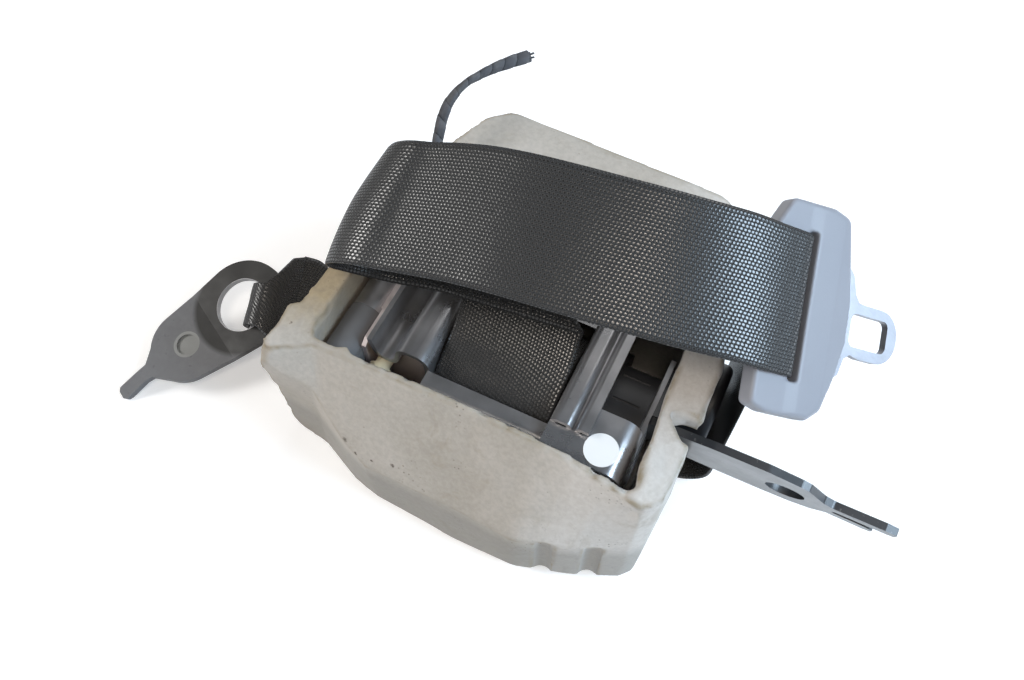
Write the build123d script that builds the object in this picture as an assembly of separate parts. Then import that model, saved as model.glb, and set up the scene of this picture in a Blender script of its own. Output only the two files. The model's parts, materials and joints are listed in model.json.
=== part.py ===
from build123d import *
import math
import os

# Rear seat belt: emergency-locking retractor in a moulded foam cover, with its webbing wound
# round it, the tongue, the eye plate of the lap end and a cut taped lead. Millimetres, +Z up.
# The model is laid out about the spool: X along the spool's axle, Y away from the open front,
# Z up through the opening of the cover. At the end it is shifted so that the origin is the
# centre of the bolt hole in the mounting bracket.

# Webbing
WEB_WIDTH = 47.0
WEB_THICK = 1.2
WEB_GAP = 0.3                 # soft webbing stays this far from what it passes
ROLL_RADIUS = 27.0
ROLL_X = -3.25                # middle of the wound webbing

# Spool and axle
CORE_RADIUS = 12.0
AXLE_RADIUS = 6.0
RUN_GAP = 0.05                # running fit of the axle in its bushes, radial
AXLE_LEFT = -49.5
BUSH_RADIUS = 9.0
BUSH_FLANGE = 11.0

# Pressed frame
SHEET = 2.0
WALL_LEFT = ROLL_X - WEB_WIDTH / 2 - 0.75      # inner face of the left wall
WALL_RIGHT = ROLL_X + WEB_WIDTH / 2 + 1.25     # inner face of the right wall
CHEEK_REACH = 29.5
CHEEK = WALL_RIGHT + CHEEK_REACH               # inner face of the outer cheek that carries the bracket
AXLE_RIGHT = CHEEK - 4.0
WALL_FRONT = -24.0
WALL_BACK = 30.0
WEB_BOTTOM = -31.0            # underside of the frame
STRIP_TOP = 26.0
STRIP_FRONT = -29.0
STRIP_BACK = -21.0
REAR_STRIP_FRONT = 25.0
REAR_STRIP_BACK = 33.0
FLANGE_BACK = 34.0
HUMP_TOP = 33.0
TROUGH_LOW = 19.0
TROUGH_LEFT = -53.5
BAR_TOP = 33.0
DECK_TOP = 30.0
DECK_FRONT = -31.0
DECK_BACK = -9.0
ROLL_DOWN = 6.0

# Bracket that takes the mounting bolt
PLATE = 3.0
BRACKET_TILT = 14.0           # degrees the plate leans from upright
BRACKET_X = 108.0
BRACKET_Y = 2.5
BRACKET_Z = 3.0
BOLT_HOLE = 15.0
RIVET = 6.0

# Ratchet and pawl
RATCHET_X = WALL_RIGHT + SHEET + 1.5
RATCHET_THICK = 4.0
RATCHET_TIP = 21.0
RATCHET_ROOT = 17.4
TEETH = 16
PAWL_PIN_R = 29.5
PAWL_PIN_ANGLE = -49.0
PAWL_TIP_ANGLE = -7.0
PIN_RADIUS = 2.5

# Covers on the right side
LOCK_COVER_R = 25.5
LOCK_COVER_X = CHEEK - 15.0
CASSETTE_R = 24.0
CASSETTE_WALL = 1.6
SPRING_TURNS = 5
SPRING_THICK = 0.6

# Round sensor can outside the cheek
CAN_R = 18.0
CAN_Y = 25.5
CAN_Z = -2.0
CAN_RIGHT = CHEEK + 23.5
CAN_WALL = 1.8
BALL_R = 5.0

# Pretensioner on the left side
CASTING_LEFT = -49.0
CASTING_R = 17.5
GENERATOR_R = 6.8
GENERATOR_X = -63.2
GENERATOR_Z = 19.5
GENERATOR_BACK = 24.0
PLUG_R = 7.2
COLLAR_AT = (-49.0, 13.2)
COLLAR_STEM = 3.2
PLUG_FRONT = -28.0
PLUG_BACK = -6.5

# Taped lead, cut off at its free end
LEAD_D = 3.6
LEAD_ROUTE = [(-61.5, 31.5, 26.5), (-60.5, 37.5, 37), (-61, 46.5, 46), (-64, 58, 54), (-66.5, 69, 59.5),
              (-65.5, 80, 61.5), (-61.5, 91, 60.5), (-56.5, 102, 58.5), (-51, 112.5, 55.5)]

# Tongue
TONGUE_AT = (83.3, 33.0, 70.6)
TONGUE_RUN = (0.77, 0.43, -0.49)
TONGUE_ALONG = (-0.255, 0.872, 0.426)
TONGUE_LENGTH = 71.0
TONGUE_THICK = 8.0
TONGUE_EDGE = 1.4              # height over which the edge leans in
TONGUE_TAPER = 40.0           # degrees it leans
SLOT_LENGTH = 49.5
SLOT_RIGHT = 1.9
END_BAR_R = 3.4
BLADE = 2.5
BLADE_WIDTH = 18.6
BLADE_TIP = 47.0
WINDOW_WIDTH = 11.4
WINDOW_LEFT = 24.3
WINDOW_RIGHT = 42.2

# Eye plate of the lap end
EYE_AT = (-152.5, -31.0, -38.6)
EYE_NORMAL = (-0.10, -0.30, 0.95)
EYE_ALONG = (0.473, 0.826, 0.311)
EYE_PLATE = 3.0
EYE_HOLE = 12.5
EYE_R = 17.5
RING_X = 31.0
RING_Y = -1.0
RING_R = 21.5
RING_HOLE = 12.5
BAR_INNER = 6.6
BAR_WIDTH = 9.0
STRAP_ANGLE = -47.0
LOOP_WIDTH = 20.0
LOOP_THICK = 2.4
LOOP_GAP = 0.55
BEND_X = 14.5
PLATE_BEND = 5.0             # degrees between the ring and the bolt end
TAB_BEND = 15.0

# Foam cover
FOAM_BOTTOM = -48.0
FOAM_CREASE = -8.0
FOAM_LIP = 34.0
FOAM_BACK_TOP = 46.0
POCKET_FLOOR = -31.3
POCKET_BACK = 46.0

# Top strap: one plane curve, stretched along the width direction
TOP_WIDTH_DIR = Vector(-0.1, 0.9, 0.43).normalized()
TOP_RUN = TOP_WIDTH_DIR.cross(Vector(0, 0, 1)).normalized()
TOP_UP = TOP_RUN.cross(TOP_WIDTH_DIR)

# Lap strap: it lies in one upright plane under the cover
LAP_YAW = 12.0
LAP_RUN = Vector(math.cos(math.radians(LAP_YAW)), math.sin(math.radians(LAP_YAW)), 0)
LAP_SIDE = Vector(-math.sin(math.radians(LAP_YAW)), math.cos(math.radians(LAP_YAW)), 0)
LAP_Y = 20.6                  # where the strap's middle crosses X = 0

BRACKET_UP = Vector(0, -math.sin(math.radians(BRACKET_TILT)), math.cos(math.radians(BRACKET_TILT)))
ORIGIN = Vector(BRACKET_X, BRACKET_Y, BRACKET_Z)

os.makedirs("parts", exist_ok=True)


def save(name, shape):
    """Write one piece, shifted to the part's own frame."""
    shape = shape.moved(Location(-ORIGIN))
    export_step(shape, f"parts/{name}.step")


def along_x(sketch, x0, x1):
    """A prism along X; the sketch's axes are Y and Z."""
    return extrude(Plane.YZ.offset(x0) * sketch, x1 - x0, dir=(1, 0, 0))


def along_y(sketch, y0, y1):
    """A prism along Y; the sketch's axes are X and Z."""
    return extrude(Plane.XZ.offset(-y0) * sketch, y1 - y0, dir=(0, 1, 0))


def along_z(sketch, z0, z1):
    """A prism along Z; the sketch's axes are X and Y."""
    return extrude(Plane.XY.offset(z0) * sketch, z1 - z0, dir=(0, 0, 1))


def flat(points):
    return Polygon(*points, align=None)


def box(x0, x1, y0, y1, z0, z1):
    return Pos((x0 + x1) / 2, (y0 + y1) / 2, (z0 + z1) / 2) * Box(x1 - x0, y1 - y0, z1 - z0)


def polar(radius, degrees):
    angle = math.radians(degrees)
    return radius * math.cos(angle), radius * math.sin(angle)


def disc_x(radius, y, z, x0, x1):
    return along_x(Pos(y, z) * Circle(radius), x0, x1)


def capsule(a, b, ra, rb):
    """The outline round two circles, as a sketch."""
    return make_hull((Pos(*a) * Circle(ra)).edges() + (Pos(*b) * Circle(rb)).edges())


# Webbing as thin rectangles joined one to the next

def web_section(centre, run, side, width, thick):
    up = run.cross(side).normalized()
    side = side.normalized()
    a = centre - side * (width / 2) - up * (thick / 2)
    b = centre + side * (width / 2) - up * (thick / 2)
    c = centre + side * (width / 2) + up * (thick / 2)
    d = centre - side * (width / 2) + up * (thick / 2)
    return Wire.make_polygon([a, b, c, d], close=True)


def webbing(stations, first_run=None, last_run=None):
    """A strap through stations of (centre, side direction, width, thickness)."""
    wires = []
    last = len(stations) - 1
    for i, (centre, side, width, thick) in enumerate(stations):
        before = stations[max(i - 1, 0)][0]
        after = stations[min(i + 1, last)][0]
        run = (after - before).normalized()
        if i == 0 and first_run is not None:
            run = first_run
        if i == last and last_run is not None:
            run = last_run
        wires.append(web_section(centre, run, side, width, thick))
    return Solid.make_loft(wires, ruled=True)


def arc_points(cx, cy, radius, start, end, count):
    points = []
    for i in range(count + 1):
        angle = math.radians(start + (end - start) * i / count)
        points.append((cx + radius * math.cos(angle), cy + radius * math.sin(angle)))
    return points


def blend(a, b, share):
    return a + (b - a) * share


# Foam cover

def outline(points, z):
    """A closed outline at one height; each point is (x, y, corner radius)."""
    corners = [(x, y, z) for x, y, r in points]
    radii = [r for x, y, r in points]
    return FilletPolyline(*corners, radius=radii, close=True).wires()[0]


def cover_outlines():
    lip = [(-84.5, -44.5, 3), (-68, -33.5, 6), (-33, -32.6, 40), (-1.5, -32, 40), (30, -33.4, 40),
           (50, -36.2, 30), (63, -38.4, 3), (69.5, -33, 4), (70, 10, 20), (67, 56, 14), (48, 88, 12),
           (-47, 92, 5), (-55.5, 84, 5), (-79, 30, 20), (-81.5, -6, 20)]
    crease = [(-90, -55, 4), (-62, -55, 20), (-26.5, -54.6, 40), (-3.5, -54.4, 40), (24, -56, 14),
              (46, -49.2, 20), (64.5, -40.3, 4), (69, -36, 3), (72, 10, 20), (67, 56, 14), (50, 89, 12),
              (-48, 94, 6), (-58, 84, 6), (-81, 30, 20), (-84.5, -8, 20)]
    low = [(-94, -50, 5), (-60, -53.5, 20), (-29, -55.4, 40), (-3, -56.8, 30), (24, -56.2, 14),
           (46, -49.4, 20), (64.5, -41.4, 4), (68.6, -37, 4), (70, 8, 20), (63, 54, 14), (46, 84, 12),
           (-46, 89, 8), (-58, 80, 8), (-82, 28, 20), (-86, -8, 20)]
    return lip, crease, low


def drawn_in(points, share):
    """The same outline, smaller by a share about the cover's middle."""
    cx, cy = -9.0, 17.0
    return [(cx + (x - cx) * share, cy + (y - cy) * share, r) for x, y, r in points]


def cover_body():
    lip, crease, low = cover_outlines()
    top = FOAM_BACK_TOP + 6
    turn = FOAM_BOTTOM + 7
    shape = Solid.make_loft([outline(crease, FOAM_CREASE), outline(lip, FOAM_LIP)], ruled=True)
    shape += Solid.make_loft([outline(low, turn), outline(crease, FOAM_CREASE)], ruled=True)
    under = drawn_in(low, 0.975)
    sole = drawn_in(low, 0.92)
    shape += Solid.make_loft([outline(under, FOAM_BOTTOM + 2.5), outline(low, turn)], ruled=True)
    shape += Solid.make_loft([outline(sole, FOAM_BOTTOM), outline(under, FOAM_BOTTOM + 2.5)], ruled=True)
    shape += Solid.make_loft([outline(lip, FOAM_LIP), outline(lip, top)], ruled=True)
    return shape


def cover_wing_cut():
    """What is cut off in front at the left: an upright wall that ends in a step at the bulge."""
    high = [(-125, -47.5), (-64, -44), (-49.5, -51.6), (-36, -57.2), (-36, -75), (-125, -75)]
    deep = [(-125, -33.5), (-74, -41.7), (-54, -50.9), (-36, -55.6), (-36, -75), (-125, -75)]
    top = Polyline(*[(x, y, 42) for x, y in high], close=True)
    foot = Polyline(*[(x, y, FOAM_BOTTOM - 1) for x, y in deep], close=True)
    return Solid.make_loft([foot.wires()[0], top.wires()[0]], ruled=True)


def cover_top_cut():
    """What is cut off above: the rim is low in front and rises to the back."""
    side = [(-70, FOAM_LIP), (2, FOAM_LIP), (24, 38), (48, 42.5), (74, FOAM_BACK_TOP), (86, FOAM_BACK_TOP),
            (100, 43), (100, 80), (-70, 80)]
    return along_x(flat(side), -120, 120)


def cover_pocket():
    right = CHEEK + 4.5
    rim = [(-71.5, -30.6, 3.5), (-33, -29.9, 30), (-1.5, -29.7, 30), (30, -31, 30), (right + 5, -35.4, 3),
           (right + 1, -14, 8), (right, 8, 12), (right - 1, POCKET_BACK, 5), (-66, POCKET_BACK, 6),
           (-72, 26, 8)]
    floor = [(-70.5, -30, 3.5), (-33, -29.6, 30), (-1.5, -29.5, 30), (30, -30.5, 30), (right + 2.5, -33, 3),
             (right + 0.5, -14, 8), (right - 1, 8, 12), (right - 2, POCKET_BACK - 2, 5),
             (-64, POCKET_BACK - 2, 6), (-70.5, 26, 8)]
    top = FOAM_BACK_TOP + 8
    return Solid.make_loft([outline(floor, POCKET_FLOOR), outline(rim, top)], ruled=True)


def cover_scallops():
    """The two upright grooves that part the lobes at the right of the lower band."""
    cuts = []
    for x, y in ((35.5, -53.4), (53.0, -46.8)):
        cuts.append(along_z(Pos(x, y) * Circle(3.7), FOAM_BOTTOM - 1, FOAM_CREASE + 1))
    return cuts


def foam_cover():
    shape = cover_body() - cover_wing_cut() - cover_top_cut() - cover_pocket()
    for cut in cover_scallops():
        shape -= cut
    gap = 0.5
    shape -= disc_x(CAN_R + gap, CAN_Y, CAN_Z, CHEEK - 1, 90)
    shape -= bracket_passage()
    shape -= box(CHEEK - 1, CHEEK + 7, 2, 28, -18.5, 17.5)
    return shape


def bracket_passage():
    """The slot through the right wall for the bracket, open to the outside and, below the ear, upward."""
    edge = CHEEK + 13.5
    high = along_z(flat([(edge, 1.5), (edge - 5.5, -1.0), (edge + 1.5, -9.5), (90, -11), (90, 1.5)]), 22, 60)
    out = box(edge - 3, 90, -12, 13, -24, 23)
    through = box(CHEEK - 1, 90, -10, 13, -24, 23)
    return high + out + through


# Pressed frame

def sheet_strip(points, radius):
    """A bent strip of sheet, as a flat section SHEET thick along a line."""
    line = FilletPolyline(*points, radius=radius)
    return trace(line, line_width=SHEET)


def left_flange_section():
    half = SHEET / 2
    left = WALL_LEFT - half
    points = [(TROUGH_LEFT + half, 30.5), (TROUGH_LEFT + half + 2.0, TROUGH_LOW + half),
              (-42.5, TROUGH_LOW + half), (-39.5, HUMP_TOP - half), (left, HUMP_TOP - half),
              (left, WEB_BOTTOM + half + 4)]
    return sheet_strip(points, [4.5, 4.0, 4.5, 4.5])


def right_flange_section():
    """Wall, then a bar of two ribs with a groove between them."""
    half = SHEET / 2
    right = WALL_RIGHT + half
    points = [(right, WEB_BOTTOM + half + 4), (right, BAR_TOP - half), (28.4, BAR_TOP - half),
              (29.6, BAR_TOP - half - 3.2), (31.6, BAR_TOP - half - 3.2), (32.8, BAR_TOP - half),
              (36.6, BAR_TOP - half)]
    return sheet_strip(points, [2.2, 1.15, 1.15, 1.15, 1.15])


def deck_section():
    """Deck over the front corner, rolled down into the outer cheek."""
    half = SHEET / 2
    points = [(34.0, DECK_TOP - half), (CHEEK + half, DECK_TOP - half), (CHEEK + half, WEB_BOTTOM + half + 4)]
    return sheet_strip(points, [ROLL_DOWN])


def floor_section():
    half = SHEET / 2
    low = WEB_BOTTOM + half
    points = [(WALL_LEFT - half, WEB_BOTTOM + half + 8), (WALL_LEFT - half, low), (CHEEK + half, low),
              (CHEEK + half, WEB_BOTTOM + half + 8)]
    return sheet_strip(points, [3.0, 3.0])


def front_strip():
    """The pressed strip across the front of the window, with its turned-down front lip."""
    half = SHEET / 2
    points = [(STRIP_FRONT + half, STRIP_TOP - 7), (STRIP_FRONT + half, STRIP_TOP - half),
              (STRIP_BACK, STRIP_TOP - half)]
    return along_x(sheet_strip(points, [2.2]), WALL_LEFT - 0.5, WALL_RIGHT + 0.5)


def retractor_frame():
    shape = along_y(floor_section(), WALL_FRONT, WALL_BACK)
    shape += along_y(left_flange_section(), STRIP_BACK, FLANGE_BACK)
    shape += along_y(right_flange_section(), STRIP_BACK, FLANGE_BACK)
    shape += along_y(deck_section(), DECK_FRONT, DECK_BACK)
    shape += box(CHEEK, CHEEK + SHEET, DECK_BACK - 1, WALL_BACK, WEB_BOTTOM + 5, 13)
    shape += front_strip()
    shape += box(WALL_LEFT - 0.5, WALL_RIGHT + 0.5, REAR_STRIP_FRONT, REAR_STRIP_BACK, 20, 22)
    shape += box(WALL_RIGHT, 37, DECK_FRONT + 1.2, STRIP_BACK, DECK_TOP - SHEET, DECK_TOP)
    shape += box(WALL_RIGHT, WALL_RIGHT + SHEET, DECK_FRONT + 4, STRIP_BACK + 1, 18, DECK_TOP)
    shape -= disc_x(BUSH_RADIUS, 0, 0, WALL_LEFT - SHEET - 1, WALL_LEFT + 1)
    shape -= disc_x(BUSH_RADIUS, 0, 0, WALL_RIGHT - 1, WALL_RIGHT + SHEET + 1)
    y, z = polar(PAWL_PIN_R, PAWL_PIN_ANGLE)
    shape -= disc_x(PIN_RADIUS, y, z, WALL_RIGHT - 1, WALL_RIGHT + SHEET + 1)
    for y, z in RIVET_PLACES:
        shape -= disc_x(RIVET / 2, y, z, CHEEK - 1, CHEEK + SHEET + 1)
    return shape


# Mounting bracket: flange on the cheek, plate with the bolt hole, forked tip

BRACKET_PLANE = Plane(origin=ORIGIN, x_dir=(1, 0, 0), z_dir=Vector(1, 0, 0).cross(BRACKET_UP))
FLANGE_TOP = 17.0
FLANGE_LOW = -17.0
FLANGE_REACH = 24.0
RIVET_PLACES = ((19.0, 6.5), (19.0, -9.0))


def bracket_plate():
    root = CHEEK + SHEET - BRACKET_X
    points = [(root, FLANGE_TOP - 1), (-40, FLANGE_TOP), (-30, 19), (-10, 20.5), (3, 18.5), (6, 17),
              (13, 8.0), (17, 5.8), (36, 6.8), (40.5, 5.8), (40.5, 2.0), (38, 1.2), (19, 0.6),
              (18, -0.6), (19, -1.8), (31, -2.4), (34, -3.4), (34, -6.6), (31, -7.4), (17, -6.6),
              (12, -12), (4, -15.5), (-10, -17), (-32, -18), (root, FLANGE_LOW)]
    radii = [2, 20, 20, 12, 8, 3, 6, 5, 1.5, 1.5, 1.5, 1, 0.5, 0.5, 0.5, 1, 1, 1.5, 1.5, 1.5, 5, 8, 14, 20, 2]
    radii = [max(r * 0.45, 0.3) for r in radii]
    face = make_face(FilletPolyline(*points, radius=radii, close=True))
    face -= Circle(BOLT_HOLE / 2)
    return extrude(BRACKET_PLANE * face, PLATE, dir=-BRACKET_PLANE.z_dir)


def mounting_bracket():
    root = CHEEK + SHEET
    flange_y = BRACKET_Y + FLANGE_REACH
    flange = along_x(flat([(3.5, FLANGE_TOP - 1.2), (flange_y, FLANGE_TOP - 5), (flange_y, FLANGE_LOW + 5),
                           (8.5, FLANGE_LOW + 0.6)]), root, root + PLATE)
    shape = bracket_plate() + flange
    for y, z in RIVET_PLACES:
        shape -= disc_x(RIVET / 2, y, z, root - 1, root + PLATE + 1)
    return shape


def rivet(y, z):
    """A rivet through the bracket's flange and the cheek."""
    root = CHEEK + SHEET
    shank = disc_x(RIVET / 2, y, z, CHEEK, root + PLATE)
    head = Plane.YZ.offset(root + PLATE) * Pos(y, z) * Circle(RIVET * 0.7)
    return shank + extrude(head, 2.0, taper=18)


# Spool and what turns with it

def spool():
    left = WALL_LEFT + 0.6
    right = WALL_RIGHT - 0.6
    shape = disc_x(CORE_RADIUS, 0, 0, left, right)
    shape -= disc_x(AXLE_RADIUS, 0, 0, left - 1, right + 1)
    slot = box(left + 1.5, right - 1.5, -WEB_THICK, WEB_THICK, AXLE_RADIUS + 1.5, CORE_RADIUS + 1)
    return shape - slot


def wound_webbing():
    x0 = ROLL_X - WEB_WIDTH / 2
    x1 = ROLL_X + WEB_WIDTH / 2
    return disc_x(ROLL_RADIUS, 0, 0, x0, x1) - disc_x(CORE_RADIUS, 0, 0, x0 - 1, x1 + 1)


def torsion_bar():
    """The axle: a bar waisted between its two ends, square at the spring's arbor."""
    waist = 4.4
    shape = disc_x(AXLE_RADIUS, 0, 0, AXLE_LEFT + 1, AXLE_RIGHT - 10)
    ring = disc_x(AXLE_RADIUS + 1, 0, 0, WALL_LEFT + 6, WALL_RIGHT - 6)
    ring -= disc_x(waist, 0, 0, WALL_LEFT + 5, WALL_RIGHT - 5)
    shape -= ring
    shape += disc_x(4.0, 0, 0, AXLE_RIGHT - 10, AXLE_RIGHT)
    return shape


def bush(wall, outward):
    """Plastic bearing in a side wall, with its flange on the outside."""
    x0, x1 = (wall, wall + SHEET) if outward > 0 else (wall - SHEET, wall)
    shape = disc_x(BUSH_RADIUS, 0, 0, x0, x1)
    if outward > 0:
        shape += disc_x(BUSH_FLANGE, 0, 0, x1, x1 + 1.2)
    else:
        shape += disc_x(BUSH_FLANGE, 0, 0, x0 - 1.2, x0)
    return shape - disc_x(AXLE_RADIUS + RUN_GAP, 0, 0, x0 - 3, x1 + 3)


def ratchet_wheel():
    pitch = 360 / TEETH
    points = []
    for k in range(TEETH):
        start = PAWL_TIP_ANGLE + 0.24 * pitch - k * pitch
        points.append(polar(RATCHET_ROOT, start))
        points.append(polar(RATCHET_ROOT, start - 0.46 * pitch))
        points.append(polar(RATCHET_TIP, start - 0.86 * pitch))
        points.append(polar(RATCHET_TIP, start - 0.98 * pitch))
    wheel = flat(points) - Circle(AXLE_RADIUS)
    for k in range(6):
        y, z = polar(11.5, 60 * k)
        wheel -= Pos(y, z) * Circle(2.6)
    return along_x(wheel, RATCHET_X, RATCHET_X + RATCHET_THICK)


def locking_pawl():
    pin = polar(PAWL_PIN_R, PAWL_PIN_ANGLE)
    elbow = polar(27.0, PAWL_TIP_ANGLE + 1)
    tip = polar(RATCHET_TIP + 1.2, PAWL_TIP_ANGLE)
    arm = capsule(pin, elbow, 4.6, 2.8)
    tooth = capsule(elbow, tip, 2.2, 0.7)
    face = arm + tooth - Pos(*pin) * Circle(PIN_RADIUS + RUN_GAP)
    return along_x(face, RATCHET_X, RATCHET_X + RATCHET_THICK)


def pawl_pin():
    y, z = polar(PAWL_PIN_R, PAWL_PIN_ANGLE)
    shape = disc_x(PIN_RADIUS, y, z, WALL_RIGHT, RATCHET_X + RATCHET_THICK + 1)
    shape += disc_x(PIN_RADIUS + 1.3, y, z, RATCHET_X + RATCHET_THICK + 0.4, RATCHET_X + RATCHET_THICK + 1.6)
    return shape


# Covers and rewind spring on the right side

def lock_cover_outline(inset):
    """Round the wheel, the pawl's pin and the pawl's elbow."""
    edges = Circle(LOCK_COVER_R - inset).edges()
    edges += (Pos(*polar(PAWL_PIN_R, PAWL_PIN_ANGLE)) * Circle(6.5 - inset)).edges()
    edges += (Pos(*polar(27.0, PAWL_TIP_ANGLE + 1)) * Circle(6.4 - inset)).edges()
    return make_hull(edges)


def lock_cover():
    """Moulded cover over the ratchet and the pawl."""
    left = WALL_RIGHT + SHEET
    shape = along_x(lock_cover_outline(0), left, LOCK_COVER_X)
    shape -= along_x(lock_cover_outline(1.5), left - 1, LOCK_COVER_X - 1.8)
    shape -= disc_x(AXLE_RADIUS + 0.6, 0, 0, left, LOCK_COVER_X + 1)
    for k in range(8):
        a, b = polar(17.5, 45 * k + 10)
        shape -= disc_x(2.2, a, b, LOCK_COVER_X - 3, LOCK_COVER_X + 1)
    return shape


def spring_cassette():
    """Round cup that holds the rewind spring, closed by the lock cover's side of it."""
    shape = disc_x(CASSETTE_R, 0, 0, LOCK_COVER_X + 1.4, CHEEK)
    shape -= disc_x(CASSETTE_R - CASSETTE_WALL, 0, 0, LOCK_COVER_X, CHEEK - CASSETTE_WALL)
    for k in range(12):
        y, z = polar(CASSETTE_R, 30 * k)
        shape -= disc_x(0.7, y, z, LOCK_COVER_X, CHEEK - 3)
    return shape


def cassette_lid():
    shape = disc_x(CASSETTE_R, 0, 0, LOCK_COVER_X, LOCK_COVER_X + 1.4)
    return shape - disc_x(AXLE_RADIUS + 0.6, 0, 0, LOCK_COVER_X - 1, LOCK_COVER_X + 3)


def spring_arbor():
    shape = disc_x(7.0, 0, 0, AXLE_RIGHT - 9.5, AXLE_RIGHT)
    return shape - disc_x(4.0, 0, 0, AXLE_RIGHT - 11, AXLE_RIGHT + 1)


def rewind_spring():
    """Flat spiral spring between the arbor and the cassette's wall."""
    inner = 7.0 + 0.3
    outer = CASSETTE_R - CASSETTE_WALL - SPRING_THICK
    steps = 20 * SPRING_TURNS
    near = []
    far = []
    for i in range(steps + 1):
        radius = blend(inner, outer, i / steps)
        angle = 360 * SPRING_TURNS * i / steps
        near.append(polar(radius, angle))
        far.append(polar(radius + SPRING_THICK, angle))
    face = flat(near + far[::-1])
    return along_x(face, AXLE_RIGHT - 8.5, AXLE_RIGHT - 0.5)


# Round can with the tilt sensor, outside the cheek

CAN_LEFT = CHEEK + SHEET + PLATE
SEAT_X = (CAN_LEFT + CAN_RIGHT - CAN_WALL) / 2
SEAT_SLOPE = 20.0
SEAT_R = 5.0
BALL_Z = CAN_Z - 3.0
LEVER_GAP = 0.3
LEVER_PIVOT = (CAN_Y - 10.5, CAN_Z + 6.0)


def sensor_can():
    shape = disc_x(CAN_R, CAN_Y, CAN_Z, CAN_LEFT, CAN_RIGHT)
    rim = shape.edges().filter_by(GeomType.CIRCLE).sort_by(Axis.X)[-1]
    shape = fillet(rim, 3.0)
    shape -= disc_x(CAN_R - CAN_WALL, CAN_Y, CAN_Z, CAN_LEFT - 1, CAN_RIGHT - CAN_WALL)
    return shape


def sensor_seat():
    """Dish under the ball, on the can's floor, with the ears that carry the lever."""
    inside = disc_x(CAN_R - CAN_WALL, CAN_Y, CAN_Z, CAN_LEFT + 2.5, CAN_RIGHT - CAN_WALL)
    block = box(SEAT_X - 5.5, SEAT_X + 5.5, CAN_Y - 13, CAN_Y + 9, CAN_Z - 20, BALL_Z - 3.2)
    slope = math.tan(math.radians(SEAT_SLOPE))
    low = BALL_Z - BALL_R / math.cos(math.radians(SEAT_SLOPE)) - 0.02
    rise = SEAT_R * slope
    cone = Cone(0.01, SEAT_R, rise, align=(Align.CENTER, Align.CENTER, Align.MIN))
    shape = (block & inside) - Pos(SEAT_X, CAN_Y, low) * cone
    shape -= Pos(SEAT_X, CAN_Y, low + rise) * extrude(Circle(SEAT_R), 10)
    y, z = LEVER_PIVOT
    for side in (-1, 1):
        x = SEAT_X + side * 4.5
        ear = capsule((y, z), (y - 0.5, BALL_Z - 4), 2.4, 2.4)
        shape += along_x(ear, x - 1, x + 1) & inside
    shape -= disc_x(1.25 + RUN_GAP, y, z, SEAT_X - 8, SEAT_X + 8)
    return shape


def sensor_ball():
    return Pos(SEAT_X, CAN_Y, BALL_Z) * Sphere(BALL_R)


def sensor_lever():
    """Lever that lies over the ball: a shallow cap on an arm, with its own pivot pin."""
    y, z = LEVER_PIVOT
    top = BALL_Z + BALL_R + LEVER_GAP
    arm = along_x(capsule((y, z), (CAN_Y, top + 0.9), 1.8, 0.9), SEAT_X - 2.2, SEAT_X + 2.2)
    cap = Pos(SEAT_X, CAN_Y, top) * extrude(Circle(3.2), 1.6)
    pin = disc_x(1.25, y, z, SEAT_X - 5.4, SEAT_X + 5.4)
    return arm + cap + pin


# Pretensioner on the left side

def pretensioner_casting():
    """Zinc casting beside the left wall, with the plate that holds the gas generator."""
    right = WALL_LEFT - SHEET - 1.5
    shape = disc_x(CASTING_R, 0, 0, CASTING_LEFT, right)
    shape -= disc_x(12.5, 0, 0, CASTING_LEFT + 2, right + 1)
    for angle in (100, 200, 330):
        y, z = polar((CASTING_R + 12.5) / 2, angle)
        shape += disc_x(2.1, y, z, right - 1, right + 1.5)
    plate = flat([(-22, 2), (-22, 25), (-19, 27), (6, 27), (12, 22), (14, 4), (10, -2), (-14, -2)])
    shape += along_x(plate, -56.0, -54.2)
    shape += box(-54.5, CASTING_LEFT + 1, -12, 10, -2, 14)
    shape += box(-61.0, -55.0, -4, 12, 9, 24)
    shape -= along_y(Pos(GENERATOR_X, GENERATOR_Z) * Circle(GENERATOR_R), -10, 20)
    shape -= along_y(Pos(*COLLAR_AT) * Circle(COLLAR_STEM), -24, -11.5)
    return shape - disc_x(AXLE_RADIUS + 0.6, 0, 0, CASTING_LEFT - 0.3, right)


def drive_ring():
    """Toothed ring on the axle inside the casting, driven by the pretensioner."""
    wheel = Circle(10.5)
    for k in range(14):
        y, z = polar(10.8, 360 * k / 14)
        wheel -= Pos(y, z) * Circle(1.1)
    wheel -= Circle(AXLE_RADIUS)
    return along_x(wheel, CASTING_LEFT + 3.5, CASTING_LEFT + 11)


def gas_generator():
    """Stepped steel tube along Y behind the plug."""
    at = Pos(GENERATOR_X, GENERATOR_Z)
    shape = along_y(at * Circle(GENERATOR_R), PLUG_BACK, GENERATOR_BACK)
    groove = along_y(at * Circle(GENERATOR_R + 1), 15, 18) - along_y(at * Circle(GENERATOR_R - 0.8), 14, 19)
    shape -= groove
    shape += along_y(at * Circle(3.0), PLUG_BACK - 6, PLUG_BACK)
    return shape


def generator_collar():
    """Pale flanged ring at the casting's front edge."""
    at = Pos(*COLLAR_AT)
    shape = along_y(at * Circle(4.6), -24.5, -22.5) + along_y(at * Circle(3.6), -26, -24.5)
    shape += along_y(at * Circle(COLLAR_STEM), -22.5, -12)
    return shape - along_y(at * Circle(2.0), -27, -10)


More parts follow.
